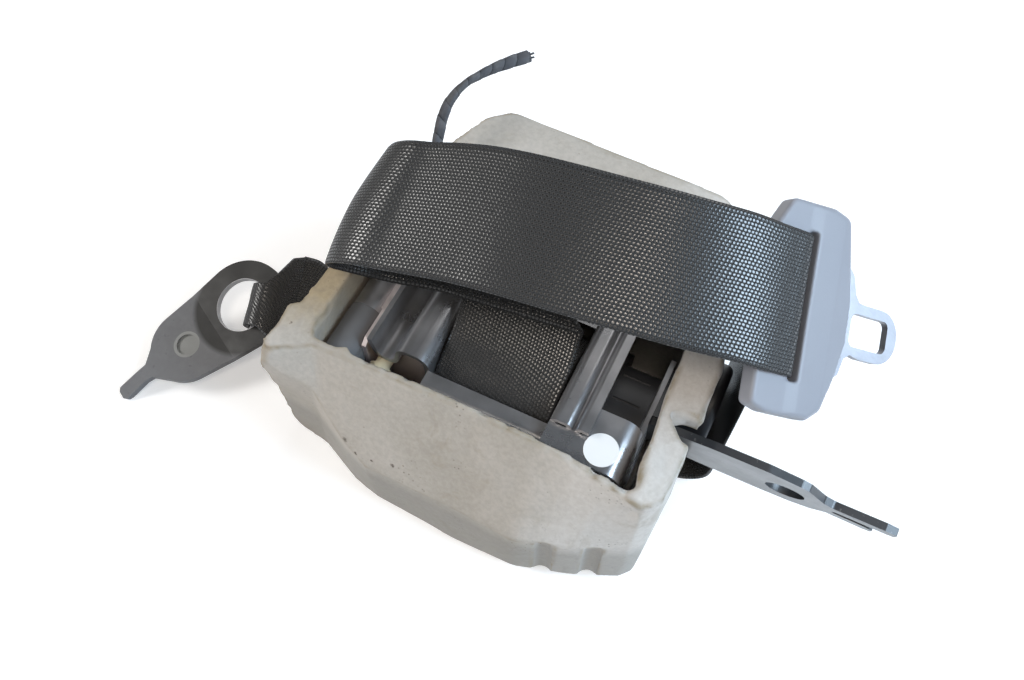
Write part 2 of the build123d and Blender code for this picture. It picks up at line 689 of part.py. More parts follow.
def igniter_plug():
    """Connector cap over the generator's front end: rounded left, cut flat on the right."""
    at = Pos(GENERATOR_X, GENERATOR_Z)
    face = Circle(PLUG_R) + Pos(2.2, -2) * Rectangle(9.6, 10.4)
    shape = along_y(at * face, PLUG_FRONT, PLUG_BACK)
    shape -= along_y(at * Circle(3.0), PLUG_BACK - 6, PLUG_BACK + 1)
    notch = box(GENERATOR_X + 5.6, GENERATOR_X + 9, -19, -12.5, GENERATOR_Z - 8, GENERATOR_Z + 8)
    return shape - notch


def lead_sleeve():
    """Sleeve on the generator's rear end from which the lead leaves."""
    at = Pos(GENERATOR_X, GENERATOR_Z)
    body = along_y(at * Circle(GENERATOR_R - 1), GENERATOR_BACK, GENERATOR_BACK + 4)
    start = Vector(*LEAD_ROUTE[0])
    run = (Vector(*LEAD_ROUTE[1]) - start).normalized()
    end = Plane(origin=start, z_dir=run)
    neck = extrude(end * Circle(LEAD_D / 2 + 1.1), -7.0)
    return body + neck


# Taped lead

def lead_radii(route):
    radii = []
    for a, b, c in zip(route, route[1:], route[2:]):
        first = Vector(*b) - Vector(*a)
        second = Vector(*c) - Vector(*b)
        half = math.radians(first.get_angle(second)) / 2
        radii.append(0.45 * min(first.length, second.length) / math.tan(half))
    return radii


def lead():
    radii = lead_radii(LEAD_ROUTE)
    print("lead radii", [round(r, 1) for r in radii])
    path = FilletPolyline(*LEAD_ROUTE, radius=radii)
    start = Vector(*LEAD_ROUTE[0])
    run = (Vector(*LEAD_ROUTE[1]) - start).normalized()
    ring = Plane(origin=start, z_dir=run) * Circle(LEAD_D / 2)
    tube = sweep(ring, path=path)
    length = path.length
    print("lead length", round(length, 1), "volume share", round(tube.volume / (length * math.pi * LEAD_D ** 2 / 4), 4))
    return tube


# Round sticker on the deck

def round_sticker():
    return along_z(Pos(42.5, -23.5) * Circle(6.3), DECK_TOP, DECK_TOP + 0.2)


# Webbing: from the roll up to the tongue

FOLD_A = 28.4                 # height of the strip that leaves the roll, middle of its thickness
FOLD_B = FOLD_A + WEB_THICK + WEB_GAP
SQUARE_LOW = 24.5             # the folded square, across the strap
SQUARE_HIGH = SQUARE_LOW + WEB_WIDTH
TURN_S = -47.0                # the loop at the left
TURN_H = FOLD_B + 18.9
TURN_R = 18.9
TONGUE_LIFT = 4.0             # degrees between the strap and the tongue's back


def on_top(s, t, h):
    """A point along the top strap's run, across its width and up from its plane."""
    return TOP_RUN * s + TOP_WIDTH_DIR * t + TOP_UP * h


def turned(angle):
    """The width direction turned by an angle in the strap's plane."""
    a = math.radians(angle)
    return TOP_WIDTH_DIR * math.cos(a) + TOP_RUN * math.sin(a)


def leaving_the_roll():
    radius = ROLL_RADIUS + WEB_GAP + WEB_THICK / 2
    stations = []
    for angle in (178, 169, 160, 151, 142, 133, 124, 115):
        y, z = polar(radius, angle)
        stations.append((Vector(ROLL_X, y, z), Vector(1, 0, 0), WEB_WIDTH, WEB_THICK))
    for t in (10.0, 24.0):
        stations.append((on_top(ROLL_X, t, FOLD_A), TOP_RUN, WEB_WIDTH, WEB_THICK))
    return webbing(stations)


def diagonal_fold():
    """Two flat layers and the rounded edge between them."""
    left = ROLL_X - WEB_WIDTH / 2
    right = ROLL_X + WEB_WIDTH / 2
    plane = Plane(origin=(0, 0, 0), x_dir=TOP_RUN, z_dir=TOP_UP)
    lower = flat([(left, 24.0), (right, 24.0), (right, SQUARE_LOW), (left, SQUARE_HIGH)])
    upper = flat([(-30, SQUARE_LOW), (right, SQUARE_LOW), (left, SQUARE_HIGH), (-30, SQUARE_HIGH)])
    shape = extrude(plane.offset(FOLD_A - WEB_THICK / 2) * lower, WEB_THICK)
    shape += extrude(plane.offset(FOLD_B - WEB_THICK / 2) * upper, WEB_THICK)
    middle = (FOLD_A + FOLD_B) / 2
    outside = middle - FOLD_A + WEB_THICK / 2
    inside = WEB_GAP / 2
    edge = Plane(origin=on_top(right, SQUARE_LOW, middle), x_dir=TOP_RUN + TOP_WIDTH_DIR,
                 z_dir=TOP_WIDTH_DIR - TOP_RUN)
    ring = (Circle(outside) - Circle(inside)) & (Pos(outside, 0) * Rectangle(2 * outside, 4 * outside))
    shape += extrude(edge * ring, WEB_WIDTH * math.sqrt(2))
    return shape


def loop_stations():
    """The run back over the left rim, the loop, and the top run towards the tongue."""
    rows = [(-30, 48, FOLD_B, 0), (-34, 48, FOLD_B, 0), (-41, 47.2, FOLD_B, 4)]
    for k in range(10):
        phi = math.radians(270 - 20 * k)
        share = 1 - abs((k - 4.5) / 4.5)
        s = TURN_S + TURN_R * math.cos(phi)
        h = TURN_H + TURN_R * math.sin(phi)
        rows.append((s, 46 - 3.5 * share, h, 8 + 5.5 * share))
    rows += [(-36, 47.4, 70.2, 4), (-22, 48.7, 73.4, 1), (-8, 49, 76.4, 0), (8, 49, 78.6, 0),
             (24, 49, 79.4, 0), (38, 49.2, 79.0, -1), (50, 49.6, 77.4, -3), (60, 50.3, 74.9, -5),
             (68, 51, 71.8, -7)]
    return [(on_top(s, t, h), turned(angle), WEB_WIDTH, WEB_THICK) for s, t, h, angle in rows]


TONGUE_X = Vector(*TONGUE_RUN).normalized()
TONGUE_UP = TONGUE_X.cross(Vector(*TONGUE_ALONG)).normalized()
TONGUE_Y = TONGUE_UP.cross(TONGUE_X)
TONGUE_PLANE = Plane(origin=TONGUE_AT, x_dir=TONGUE_X, z_dir=TONGUE_UP)
SLOT_MID = 0.9
BAR_AT = -3.6                 # middle of the round edge the strap bends over
BEND_R = END_BAR_R + WEB_GAP + WEB_THICK / 2
TONGUE_PIVOT = Vector(*TONGUE_AT) + TONGUE_X * BAR_AT + TONGUE_Y * SLOT_MID


def over_the_bar(angle):
    a = math.radians(angle)
    return TONGUE_PIVOT + TONGUE_UP * (BEND_R * math.cos(a)) + TONGUE_X * (BEND_R * math.sin(a))


def tongue_stations():
    lift = math.radians(TONGUE_LIFT)
    run = TONGUE_X * math.cos(lift) - TONGUE_UP * math.sin(lift)
    start = over_the_bar(TONGUE_LIFT)
    stations = []
    for back in (10.0, 4.0):
        stations.append((start - run * back, TONGUE_Y, WEB_WIDTH, WEB_THICK))
    for k in range(6):
        angle = TONGUE_LIFT + (90 - TONGUE_LIFT) * k / 5
        stations.append((over_the_bar(angle), TONGUE_Y, WEB_WIDTH, WEB_THICK))
    return stations


def webbing_top():
    shape = leaving_the_roll() + diagonal_fold()
    return shape + webbing(loop_stations() + tongue_stations(), last_run=TONGUE_UP * -1)


# Webbing: from the tongue down the right side, under the cover and out to the eye plate

LAP_X = 77.3
UNDER_Z = FOAM_BOTTOM - WEB_GAP - WEB_THICK / 2
UNDER_R = 13.0


def lap_point(x, z):
    return Vector(x, LAP_Y + math.tan(math.radians(LAP_YAW)) * x, z)


def lap_side(tilt):
    a = math.radians(tilt)
    return LAP_SIDE * math.cos(a) + Vector(0, 0, 1) * math.sin(a)


def lap_stations():
    start = over_the_bar(90)
    stations = [(start, TONGUE_Y, WEB_WIDTH, WEB_THICK)]
    leave = start - TONGUE_UP * 6.3
    stations.append((leave, TONGUE_Y, WEB_WIDTH, WEB_THICK))
    turn = Vector(LAP_X, 36.2, 62.5)
    settle = Vector(LAP_X, 36.2, 57.5)
    for u in (0.33, 0.67, 1.0):
        point = leave * (1 - u) ** 2 + turn * (2 * u * (1 - u)) + settle * u ** 2
        stations.append((point, lap_side(26), WEB_WIDTH, WEB_THICK))
    for z, tilt, width in ((40, 21, 47), (22, 15, 47), (5, 9, 47), (-12, 4, 47), (-27, 0, 47)):
        stations.append((lap_point(LAP_X, z), lap_side(tilt), width, WEB_THICK))
    for angle in (0, 18, 36, 54, 72, 90):
        a = math.radians(angle)
        point = lap_point(LAP_X, UNDER_Z + UNDER_R * (1 - math.sin(a)))
        stations.append((point - LAP_RUN * (UNDER_R * (1 - math.cos(a))), LAP_SIDE, WEB_WIDTH, WEB_THICK))
    for x in (30, -15, -60, -82):
        stations.append((lap_point(x, UNDER_Z), LAP_SIDE, WEB_WIDTH, WEB_THICK))
    return stations


# Eye plate and the loop sewn round its bar

EYE_X = Vector(*EYE_ALONG).normalized()
EYE_UP = EYE_X.cross(Vector(*EYE_NORMAL).cross(EYE_X)).normalized()
EYE_Y = EYE_UP.cross(EYE_X)
EYE_PLANE = Plane(origin=EYE_AT, x_dir=EYE_X, z_dir=EYE_UP)
BAR_MIDDLE = BAR_INNER + BAR_WIDTH / 2
STRAP_A = math.radians(STRAP_ANGLE)
EYE_OUT = EYE_X * math.cos(STRAP_A) + EYE_Y * math.sin(STRAP_A)
EYE_BAR = EYE_Y * math.cos(STRAP_A) - EYE_X * math.sin(STRAP_A)
EYE_PIVOT = Vector(*EYE_AT) + EYE_X * RING_X + EYE_Y * RING_Y + EYE_OUT * BAR_MIDDLE
LOOP_INNER = math.hypot(BAR_WIDTH, EYE_PLATE) / 2 + LOOP_GAP
STACK = 14.0
FALL = 30.0                   # degrees the sewn end falls away from level
STACK_RUN = LAP_RUN * math.cos(math.radians(FALL)) - Vector(0, 0, 1) * math.sin(math.radians(FALL))
STACK_RUN = (STACK_RUN - EYE_BAR * STACK_RUN.dot(EYE_BAR)).normalized()


FAN = [(-12.0, -10.0), (-3.0, -10.0), (7.2, -16.2), (STACK, -19.0), (STACK, 29.5), (6.4, 25.5), (1.0, 16.3),
       (-3.0, 10.0), (-12.0, 10.0)]
FAN_SHIFT = 5.4


def sewn_loop():
    """The strap's end, gathered where it goes round the bar, sewn to itself and fanning out after it."""
    plane = Plane(origin=EYE_PIVOT - EYE_BAR * 30, x_dir=STACK_RUN, z_dir=EYE_BAR)
    end = LOOP_THICK + 0.05
    outer = capsule((0, 0), (STACK - end, 0), LOOP_INNER + LOOP_THICK, end)
    inner = capsule((0, 0), (STACK - 7.5, 0), LOOP_INNER, 0.1)
    band = extrude(plane * (outer - inner), 60, dir=EYE_BAR)
    fan_plane = Plane(origin=EYE_PIVOT, x_dir=STACK_RUN, z_dir=STACK_RUN.cross(EYE_BAR))
    return band & extrude(fan_plane * flat(FAN), 12, both=True)


def rising_stations():
    shift = EYE_BAR * FAN_SHIFT
    stack_end = EYE_PIVOT + STACK_RUN * (STACK - 2.5) + shift
    down = EYE_PIVOT + STACK_RUN * (STACK + 4) + shift
    stations = [(lap_point(-82, UNDER_Z), LAP_SIDE, WEB_WIDTH, WEB_THICK)]
    stations.append((lap_point(-88, UNDER_Z + 0.4), LAP_SIDE, WEB_WIDTH, WEB_THICK))
    stations.append((lap_point(-95, UNDER_Z + 3.4) + Vector(0, 1.5, 0), lap_side(5), WEB_WIDTH, 1.4))
    stations.append((down, EYE_BAR, WEB_WIDTH, 2.2))
    stations.append((stack_end, EYE_BAR, WEB_WIDTH - 0.5, 2 * LOOP_THICK))
    return stations


def webbing_lap():
    shape = webbing(lap_stations(), first_run=TONGUE_UP * -1, last_run=LAP_RUN * -1)
    shape += webbing(rising_stations(), first_run=LAP_RUN * -1, last_run=STACK_RUN * -1)
    return shape + sewn_loop()


# Tongue

TONGUE_OUTLINE = [(-15.8, 24.7), (-10, 34.8), (8.4, 35.7), (15.9, 33.9), (19, 19.4), (21.8, 6.2),
                  (22.2, -7.1), (18.2, -21.2), (14.4, -31.6), (8.9, -35.5), (-8.7, -35.3), (-15.4, -33.5)]
TONGUE_REACH = (19.0, 35.5)    # half of the outline's length and width
TONGUE_ROUNDS = [4, 3, 6, 3, 8, 3, 3, 8, 3, 3, 6, 2]
TONGUE_SIDE = [(-16.5, -2.0), (-15.0, -END_BAR_R), (-2.0, -END_BAR_R), (3.0, -TONGUE_THICK / 2),
               (13.0, -TONGUE_THICK / 2), (23.0, -2.2), (23.0, 2.2), (13.0, TONGUE_THICK / 2),
               (3.0, TONGUE_THICK / 2), (-2.0, END_BAR_R), (-15.0, END_BAR_R), (-16.5, 2.0)]


def steel_of_tongue():
    """The steel plate in its own frame: carrier round the slot, shoulders, blade and window."""
    half = BLADE_WIDTH / 2
    mid = -1.85
    points = [(-12, -31), (-12, 31), (8, 31), (14, 27), (18.5, 19.2), (20, 19), (23, 16.2), (24.8, 10.3),
              (27.0, mid + half + 0.3), (30, mid + half), (BLADE_TIP, mid + half), (BLADE_TIP, mid - half),
              (30, mid - half), (26, mid - half + 0.8), (23.3, -12.1), (21.7, -17.8), (18.9, -20.1),
              (17.5, -20.5), (13, -28), (8, -31)]
    radii = [2, 2, 2, 2, 0.3, 0.8, 1.5, 1.5, 1, 1, 8.8, 8.8, 1, 1, 1, 1.5, 0.5, 0.3, 2, 2]
    shape = extrude(make_face(FilletPolyline(*points, radius=radii, close=True)), BLADE / 2, both=True)
    slot_half = SLOT_LENGTH / 2 + 1.6
    shape -= box(BAR_AT - 1.2, SLOT_RIGHT + 1.6, SLOT_MID - slot_half, SLOT_MID + slot_half, -3, 3)
    window = RectangleRounded(WINDOW_RIGHT - WINDOW_LEFT, WINDOW_WIDTH, 2.5)
    shape -= extrude(Pos((WINDOW_LEFT + WINDOW_RIGHT) / 2, mid + 0.1) * window, 4, both=True)
    return shape


def moulding_of_tongue():
    """The plastic body over the steel: round edge for the strap, flat bevels on the right."""
    outline_face = make_face(FilletPolyline(*TONGUE_OUTLINE, radius=TONGUE_ROUNDS, close=True))
    core = TONGUE_THICK / 2 - TONGUE_EDGE
    inset = TONGUE_EDGE * math.tan(math.radians(TONGUE_TAPER))
    reach_x, reach_y = TONGUE_REACH
    near = [(x, y, core) for x, y in TONGUE_OUTLINE]
    far = [(x * (1 - inset / reach_x), y * (1 - inset / reach_y), core + TONGUE_EDGE) for x, y in TONGUE_OUTLINE]
    wires = [FilletPolyline(*row, radius=TONGUE_ROUNDS, close=True).wires()[0] for row in (near, far)]
    rim = Solid.make_loft(wires, ruled=True)
    shape = extrude(outline_face, core, both=True) + rim + mirror(rim, about=Plane.XY)
    shape = shape & along_y(flat(TONGUE_SIDE), -45, 45)
    low = SLOT_MID - SLOT_LENGTH / 2
    high = SLOT_MID + SLOT_LENGTH / 2
    shape -= box(BAR_AT, SLOT_RIGHT, low, high, -8, 8)
    shape += along_y(Pos(BAR_AT, 0) * Circle(END_BAR_R), low - 0.5, high + 0.5)
    return shape - steel_of_tongue()


def eye_outline():
    ring = Pos(RING_X, RING_Y)
    shape = make_hull(Circle(EYE_R).edges() + (ring * Circle(RING_R)).edges())
    angle = STRAP_ANGLE
    out = ring * Rot(0, 0, angle)
    shape -= out * Pos(BAR_INNER + BAR_WIDTH + 20, 0) * Rectangle(40, 60)
    hole = Circle(RING_HOLE) - Pos(BAR_INNER + 20, 0) * Rectangle(40, 60)
    shape -= out * hole
    return shape


def eye_plate():
    """Flat ring and bolt end, bent a little between the two, with a turned-down tab."""
    face = eye_outline()
    shape = extrude(face & (Pos(BEND_X + 50, 0) * Rectangle(100, 100)), EYE_PLATE / 2, both=True)
    bolt_side = face & (Pos(BEND_X - 50, 0) * Rectangle(100, 100))
    bolt_side -= Circle(EYE_HOLE / 2)
    bolt_end = extrude(bolt_side, EYE_PLATE / 2, both=True)
    tab = flat([(-13, 11), (-20.5, 4.0), (-24, 3.6), (-24, -3.0), (-20.5, -3.4), (-13, -11.5)])
    bolt_end += extrude(tab, EYE_PLATE / 2, both=True)
    tip = extrude(flat([(0, 3.6), (-12.5, 4.0), (-13.8, 2.5), (-13.8, -1.5), (-12.5, -3.0), (0, -3.0)]),
                  EYE_PLATE / 2, both=True)
    tip += along_y(Circle(EYE_PLATE / 2), -3.0, 3.6)
    bolt_end += Pos(-24, 0, 0) * Rot(0, -TAB_BEND, 0) * tip
    shape += Pos(BEND_X, 0, 0) * Rot(0, PLATE_BEND, 0) * Pos(-BEND_X, 0, 0) * bolt_end
    shape += Pos(BEND_X, 0, 0) * along_y(Circle(EYE_PLATE / 2), -19.5, 18.5)
    return shape.moved(EYE_PLANE.location)


def eye_plug():
    """Plastic cup that closes the bolt hole of the eye plate."""
    at = Pos(BEND_X, 0, 0) * Rot(0, PLATE_BEND, 0) * Pos(-BEND_X, 0, 0)
    shape = extrude(Circle(EYE_HOLE / 2), EYE_PLATE / 2, both=True)
    shape -= Pos(0, 0, EYE_PLATE / 2 - 1.2) * extrude(Circle(EYE_HOLE / 2 - 1.4), 3)
    return (at * shape).moved(EYE_PLANE.location)


# Write every piece

PIECES = {
    "foam_cover": foam_cover(),
    "retractor_frame": retractor_frame(),
    "mounting_bracket": mounting_bracket(),
    "rivet_upper": rivet(*RIVET_PLACES[0]),
    "rivet_lower": rivet(*RIVET_PLACES[1]),
    "spool_core": spool(),
    "wound_webbing": wound_webbing(),
    "torsion_bar": torsion_bar(),
    "bush_left": bush(WALL_LEFT, -1),
    "bush_right": bush(WALL_RIGHT, 1),
    "ratchet_wheel": ratchet_wheel(),
    "locking_pawl": locking_pawl(),
    "pawl_pin": pawl_pin(),
    "lock_cover": lock_cover(),
    "spring_cassette": spring_cassette(),
    "cassette_lid": cassette_lid(),
    "spring_arbor": spring_arbor(),
    "rewind_spring": rewind_spring(),
    "sensor_can": sensor_can(),
    "sensor_seat": sensor_seat(),
    "sensor_ball": sensor_ball(),
    "sensor_lever": sensor_lever(),
    "pretensioner_casting": pretensioner_casting(),
    "drive_ring": drive_ring(),
    "gas_generator": gas_generator(),
    "generator_collar": generator_collar(),
    "igniter_plug": igniter_plug(),
    "lead_sleeve": lead_sleeve(),
    "taped_lead": lead(),
    "round_sticker": round_sticker(),
    "webbing_top": webbing_top(),
    "webbing_lap": webbing_lap(),
    "tongue_plate": steel_of_tongue().moved(TONGUE_PLANE.location),
    "tongue_moulding": moulding_of_tongue().moved(TONGUE_PLANE.location),
    "eye_plate": eye_plate(),
    "eye_plug": eye_plug(),
}
for name, piece in PIECES.items():
    save(name, piece)
    print(name, len(piece.solids()), round(piece.volume), [round(v, 1) for v in piece.bounding_box().size])
print("tongue pivot", TONGUE_PIVOT - ORIGIN, "axis", TONGUE_Y)
print("eye pivot", EYE_PIVOT - ORIGIN, "axis", EYE_BAR)
print("pawl pin", polar(PAWL_PIN_R, PAWL_PIN_ANGLE), "seat", SEAT_X, BALL_Z, LEVER_PIVOT)
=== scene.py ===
import json
import math

import bpy
import numpy as np
from mathutils import Matrix, Vector, noise


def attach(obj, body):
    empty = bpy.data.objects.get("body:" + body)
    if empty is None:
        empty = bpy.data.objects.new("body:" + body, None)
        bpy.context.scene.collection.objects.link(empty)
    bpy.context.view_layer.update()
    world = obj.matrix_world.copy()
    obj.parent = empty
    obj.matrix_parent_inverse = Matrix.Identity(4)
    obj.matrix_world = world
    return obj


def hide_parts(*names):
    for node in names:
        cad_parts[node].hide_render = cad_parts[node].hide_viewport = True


# Rear seat belt: retractor in its foam cover, webbing, tongue, eye plate and cut lead.
# Places are millimetres about the spool's middle, unless a comment says metres; place() turns them
# into the row's metres, whose origin is the bracket's bolt hole. Materials work in metres.

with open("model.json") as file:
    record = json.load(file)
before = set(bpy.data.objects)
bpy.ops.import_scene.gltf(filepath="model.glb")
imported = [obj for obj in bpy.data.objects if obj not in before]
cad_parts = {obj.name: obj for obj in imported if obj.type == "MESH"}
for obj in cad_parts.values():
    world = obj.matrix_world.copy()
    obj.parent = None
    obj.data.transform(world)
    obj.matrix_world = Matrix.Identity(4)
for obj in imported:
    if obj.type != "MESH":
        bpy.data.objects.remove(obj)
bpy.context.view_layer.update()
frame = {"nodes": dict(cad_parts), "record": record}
ORIGIN = np.array([108.0, 2.5, 3.0])


def place(points):
    return (np.asarray(points, float) - ORIGIN) / 1000.0


def unit(vector):
    vector = np.asarray(vector, float)
    return vector / np.linalg.norm(vector)


def linked(name, data):
    obj = bpy.data.objects.new(name, data)
    bpy.context.scene.collection.objects.link(obj)
    return obj


def mesh_object(name, points, faces, uvs=None, smooth=True):
    """A mesh object from points in metres; uvs is one pair for each point."""
    mesh = bpy.data.meshes.new(name)
    mesh.from_pydata([tuple(p) for p in points], [], [tuple(f) for f in faces])
    mesh.validate()
    if uvs is not None:
        layer = mesh.uv_layers.new(name="UVMap")
        index = np.empty(len(mesh.loops), int)
        mesh.loops.foreach_get("vertex_index", index)
        layer.data.foreach_set("uv", np.asarray(uvs, float)[index].ravel())
    mesh.polygons.foreach_set("use_smooth", [smooth] * len(mesh.polygons))
    return linked(name, mesh)


def dress(obj, material):
    obj.data.materials.clear()
    obj.data.materials.append(material)


# Node materials

class Shader:
    """Builds one material; a constant goes straight onto its socket."""

    def __init__(self, name):
        self.material = bpy.data.materials.new(name)
        self.material.use_nodes = True
        self.tree = self.material.node_tree
        self.tree.nodes.clear()
        self.bsdf = self.add("BsdfPrincipled")
        self.tree.links.new(self.bsdf.outputs[0], self.add("OutputMaterial").inputs[0])
        coords = self.add("TexCoord")
        self.where = coords.outputs["Object"]
        self.uv = coords.outputs["UV"]

    def add(self, kind):
        return self.tree.nodes.new("ShaderNode" + kind)

    def put(self, socket, value):
        if isinstance(value, bpy.types.NodeSocket):
            self.tree.links.new(value, socket)
        elif isinstance(value, (tuple, list)) and len(value) == 3 and len(socket.default_value) == 4:
            socket.default_value = (*value, 1.0)
        else:
            socket.default_value = value

    def set(self, **values):
        for name, value in values.items():
            self.put(self.bsdf.inputs[name.replace("_", " ")], value)

    def math(self, operation, a, b=0.0, c=0.0):
        node = self.add("Math")
        node.operation = operation
        for socket, value in zip(node.inputs, (a, b, c)):
            self.put(socket, value)
        return node.outputs[0]

    def times(self, a, b):
        return self.math("MULTIPLY", a, b)

    def line(self, value, slope, plus):
        return self.math("MULTIPLY_ADD", value, slope, plus)

    def mapped(self, at, stretch):
        if stretch is None:
            return at
        node = self.add("Mapping")
        node.inputs["Scale"].default_value = stretch
        self.put(node.inputs["Vector"], at)
        return node.outputs[0]

    def noise(self, scale, detail=4.0, rough=0.55, at=None, stretch=None, distortion=0.0):
        node = self.add("TexNoise")
        node.inputs["Scale"].default_value = scale
        node.inputs["Detail"].default_value = detail
        node.inputs["Roughness"].default_value = rough
        node.inputs["Distortion"].default_value = distortion
        self.put(node.inputs["Vector"], self.mapped(at or self.where, stretch))
        return node.outputs["Fac"]

    def cells(self, scale):
        node = self.add("TexVoronoi")
        node.inputs["Scale"].default_value = scale
        self.put(node.inputs["Vector"], self.where)
        return node.outputs["Distance"]

    def ramp(self, factor, *stops):
        """Stops are pairs of a position and a colour, or a grey level."""
        node = self.add("ValToRGB")
        elements = node.color_ramp.elements
        while len(elements) < len(stops):
            elements.new(0.5)
        for element, (position, colour) in zip(elements, stops):
            element.position = position
            if not isinstance(colour, (tuple, list)):
                colour = (colour, colour, colour)
            element.color = (*colour, 1.0)
        self.put(node.inputs[0], factor)
        return node.outputs[0]

    def mix(self, factor, a, b, how="MIX"):
        node = self.add("Mix")
        node.data_type = "RGBA"
        node.blend_type = how
        for socket, value in zip((node.inputs[0], node.inputs[6], node.inputs[7]), (factor, a, b)):
            self.put(socket, value)
        return node.outputs[2]

    def bump(self, height, strength, distance, under=None):
        node = self.add("Bump")
        node.inputs["Strength"].default_value = strength
        node.inputs["Distance"].default_value = distance
        self.put(node.inputs["Height"], height)
        if under is not None:
            self.put(node.inputs["Normal"], under)
        return node.outputs[0]

    def attribute(self, name):
        node = self.add("Attribute")
        node.attribute_name = name
        return node.outputs["Fac"]

    def distance(self, spot):
        node = self.add("VectorMath")
        node.operation = "DISTANCE"
        self.put(node.inputs[0], self.where)
        node.inputs[1].default_value = tuple(spot)
        return node.outputs["Value"]

    def axis(self, which, at=None):
        node = self.add("SeparateXYZ")
        self.put(node.inputs[0], at or self.where)
        return node.outputs[which]


FOAM_GREYS = ((0.370, 0.336, 0.288), (0.425, 0.388, 0.342), (0.475, 0.438, 0.395))
FOAM_CLEAN = (0.570, 0.540, 0.505)
FOAM_YELLOWED = (0.42, 0.33, 0.195)
FOAM_STAIN = (0.30, 0.255, 0.19)
# Painted shade for the foam's lower band
FOAM_LOW_SHADE = (0.262, 0.250, 0.228)
FOAM_DIRT = (0.245, 0.200, 0.130)
# Painted shade in the foam's pores
FOAM_PIT_SHADE = (0.09, 0.075, 0.055)
FOAM_MARK = (0.075, 0.055, 0.040)

# Brown marks on the foam's front: place and radius
FOAM_MARKS = (((-50.9, -51.4, 0.0), 1.5), ((-34.4, -47.7, 1.5), 1.7), ((-29.4, -50.8, -2.0), 1.2),
              ((-45.5, -53.0, -4.0), 0.9), ((-38.5, -52.4, -4.0), 0.8), ((-80.5, -29.0, 34.0), 0.9))


def foam_ground(look, large, blotches):
    """Grey-brown foam, cleaner toward the right, yellowed at the high left rim, with painted shade
    darkening it low down.
    """
    x, y, z = look.axis(0), look.axis(1), look.axis(2)
    colour = look.ramp(large, *zip((0.3, 0.52, 0.72), FOAM_GREYS))
    clean = look.ramp(look.line(x, 25.0, look.line(blotches, 0.5, 2.15)), (0.2, 0.0), (0.7, 0.9))
    colour = look.mix(clean, colour, FOAM_CLEAN)
    left = look.ramp(look.line(x, -40.0, look.line(blotches, 0.3, -7.2)), (0.0, 0.0), (0.25, 1.0))
    behind = look.ramp(look.line(y, 22.0, look.line(blotches, 0.4, 0.55)), (0.0, 0.0), (0.4, 1.0))
    high = look.ramp(look.line(z, 40.0, look.line(blotches, 1.0, -0.75)), (0.0, 0.0), (0.6, 1.0))
    aged = look.times(look.times(left, behind), high)
    colour = look.mix(look.times(aged, 0.75), colour, FOAM_YELLOWED)
    stained = look.ramp(look.noise(40.0, 4.0, 0.7, distortion=0.8), (0.58, 0.0), (0.74, 0.55))
    colour = look.mix(stained, colour, FOAM_STAIN)
    # Painted shade: darker below the crease, where the lower band faces down
    low = look.math("MINIMUM", look.math("MAXIMUM", look.line(z, -90.0, -0.75), 0.0), 1.0)
    return look.mix(look.times(low, 0.6), colour, FOAM_LOW_SHADE)


def foam_marks(look, colour):
    ragged = look.line(look.noise(700.0, 3.0, 0.6), 0.0022, -0.0011)
    for spot, reach in FOAM_MARKS:
        away = look.math("ADD", look.distance(place(spot)), ragged)
        share = look.ramp(look.math("DIVIDE", away, reach / 1000), (0.55, 0.85), (1.0, 0.0))
        colour = look.mix(share, colour, FOAM_MARK)
    return colour


def foam_material():
    """The mesh's "edge" attribute says where the foam's edges are, which hold the dirt."""
    look = Shader("foam")
    large = look.noise(22.0, 5.0, 0.6)
    fine = look.noise(520.0, 3.0, 0.6)
    blotches = look.noise(75.0, 4.0, 0.65, distortion=0.6)
    colour = foam_ground(look, large, blotches)
    grime = look.ramp(look.noise(130.0, 4.0, 0.7), (0.34, 0.0), (0.62, 0.85))
    colour = look.mix(look.times(look.attribute("edge"), grime), colour, FOAM_DIRT)
    crowd = look.ramp(look.noise(55.0, 3.0, 0.6), (0.54, 0.0), (0.70, 1.0))
    # Painted shade: the pores are darkened where their dents would lie in shade
    pit = look.times(look.ramp(look.cells(520.0), (0.12, 1.0), (0.24, 0.0)), crowd)
    colour = look.mix(look.times(pit, 0.7), colour, FOAM_PIT_SHADE)
    colour = foam_marks(look, colour)
    colour = look.mix(0.20, colour, look.ramp(fine, (0.35, 0.30), (0.65, 0.62)), "OVERLAY")
    rough = look.ramp(fine, (0.3, 0.62), (0.7, 0.85))
    look.set(Base_Color=colour, Roughness=rough, Specular_IOR_Level=0.25)
    bumps = look.bump(pit, -0.5, 0.0006)
    bumps = look.bump(fine, 0.30, 0.0004, bumps)
    bumps = look.bump(blotches, 0.35, 0.0010, bumps)
    look.set(Normal=look.bump(large, 0.45, 0.0025, bumps))
    return look.material


DUST = (0.3, 0.29, 0.27)


def gloss_black(name, colour, rough, dust=0.25, metallic=0.0):
    """Dark glossy lacquer with smears and specks of dust."""
    look = Shader(name)
    smear = look.noise(35.0, 4.0, 0.6)
    specks = look.noise(600.0, 2.0, 0.5)
    dusty = tuple(min(1, c * 2 + 0.03) for c in colour)
    shade = look.mix(look.ramp(smear, (0.45, 0.0), (0.75, dust)), colour, dusty)
    shade = look.mix(look.ramp(specks, (0.68, 0.0), (0.74, 0.25)), shade, DUST)
    roughness = look.ramp(smear, (0.3, rough), (0.75, rough + 0.2))
    look.set(Base_Color=shade, Roughness=roughness, Specular_IOR_Level=0.6)
    look.set(Metallic=metallic, Coat_Weight=0.35, Coat_Roughness=rough * 0.6)
    look.set(Normal=look.bump(look.noise(90.0, 3.0), 0.12, 0.0006))
    return look.material


# The ring of the eye plate: its middle and the radius of its hole
RING_CENTRE = (-137.0, -5.9, -29.0)
RING_HOLE = 12.5
PLATE_DARK = (0.115, 0.118, 0.126)
PLATE_LIGHT = (0.165, 0.168, 0.176)
# Painted shade round the webbing's bar
PLATE_RING_SHADE = (0.020, 0.019, 0.018)
PLATE_RUBBED = (0.50, 0.50, 0.52)


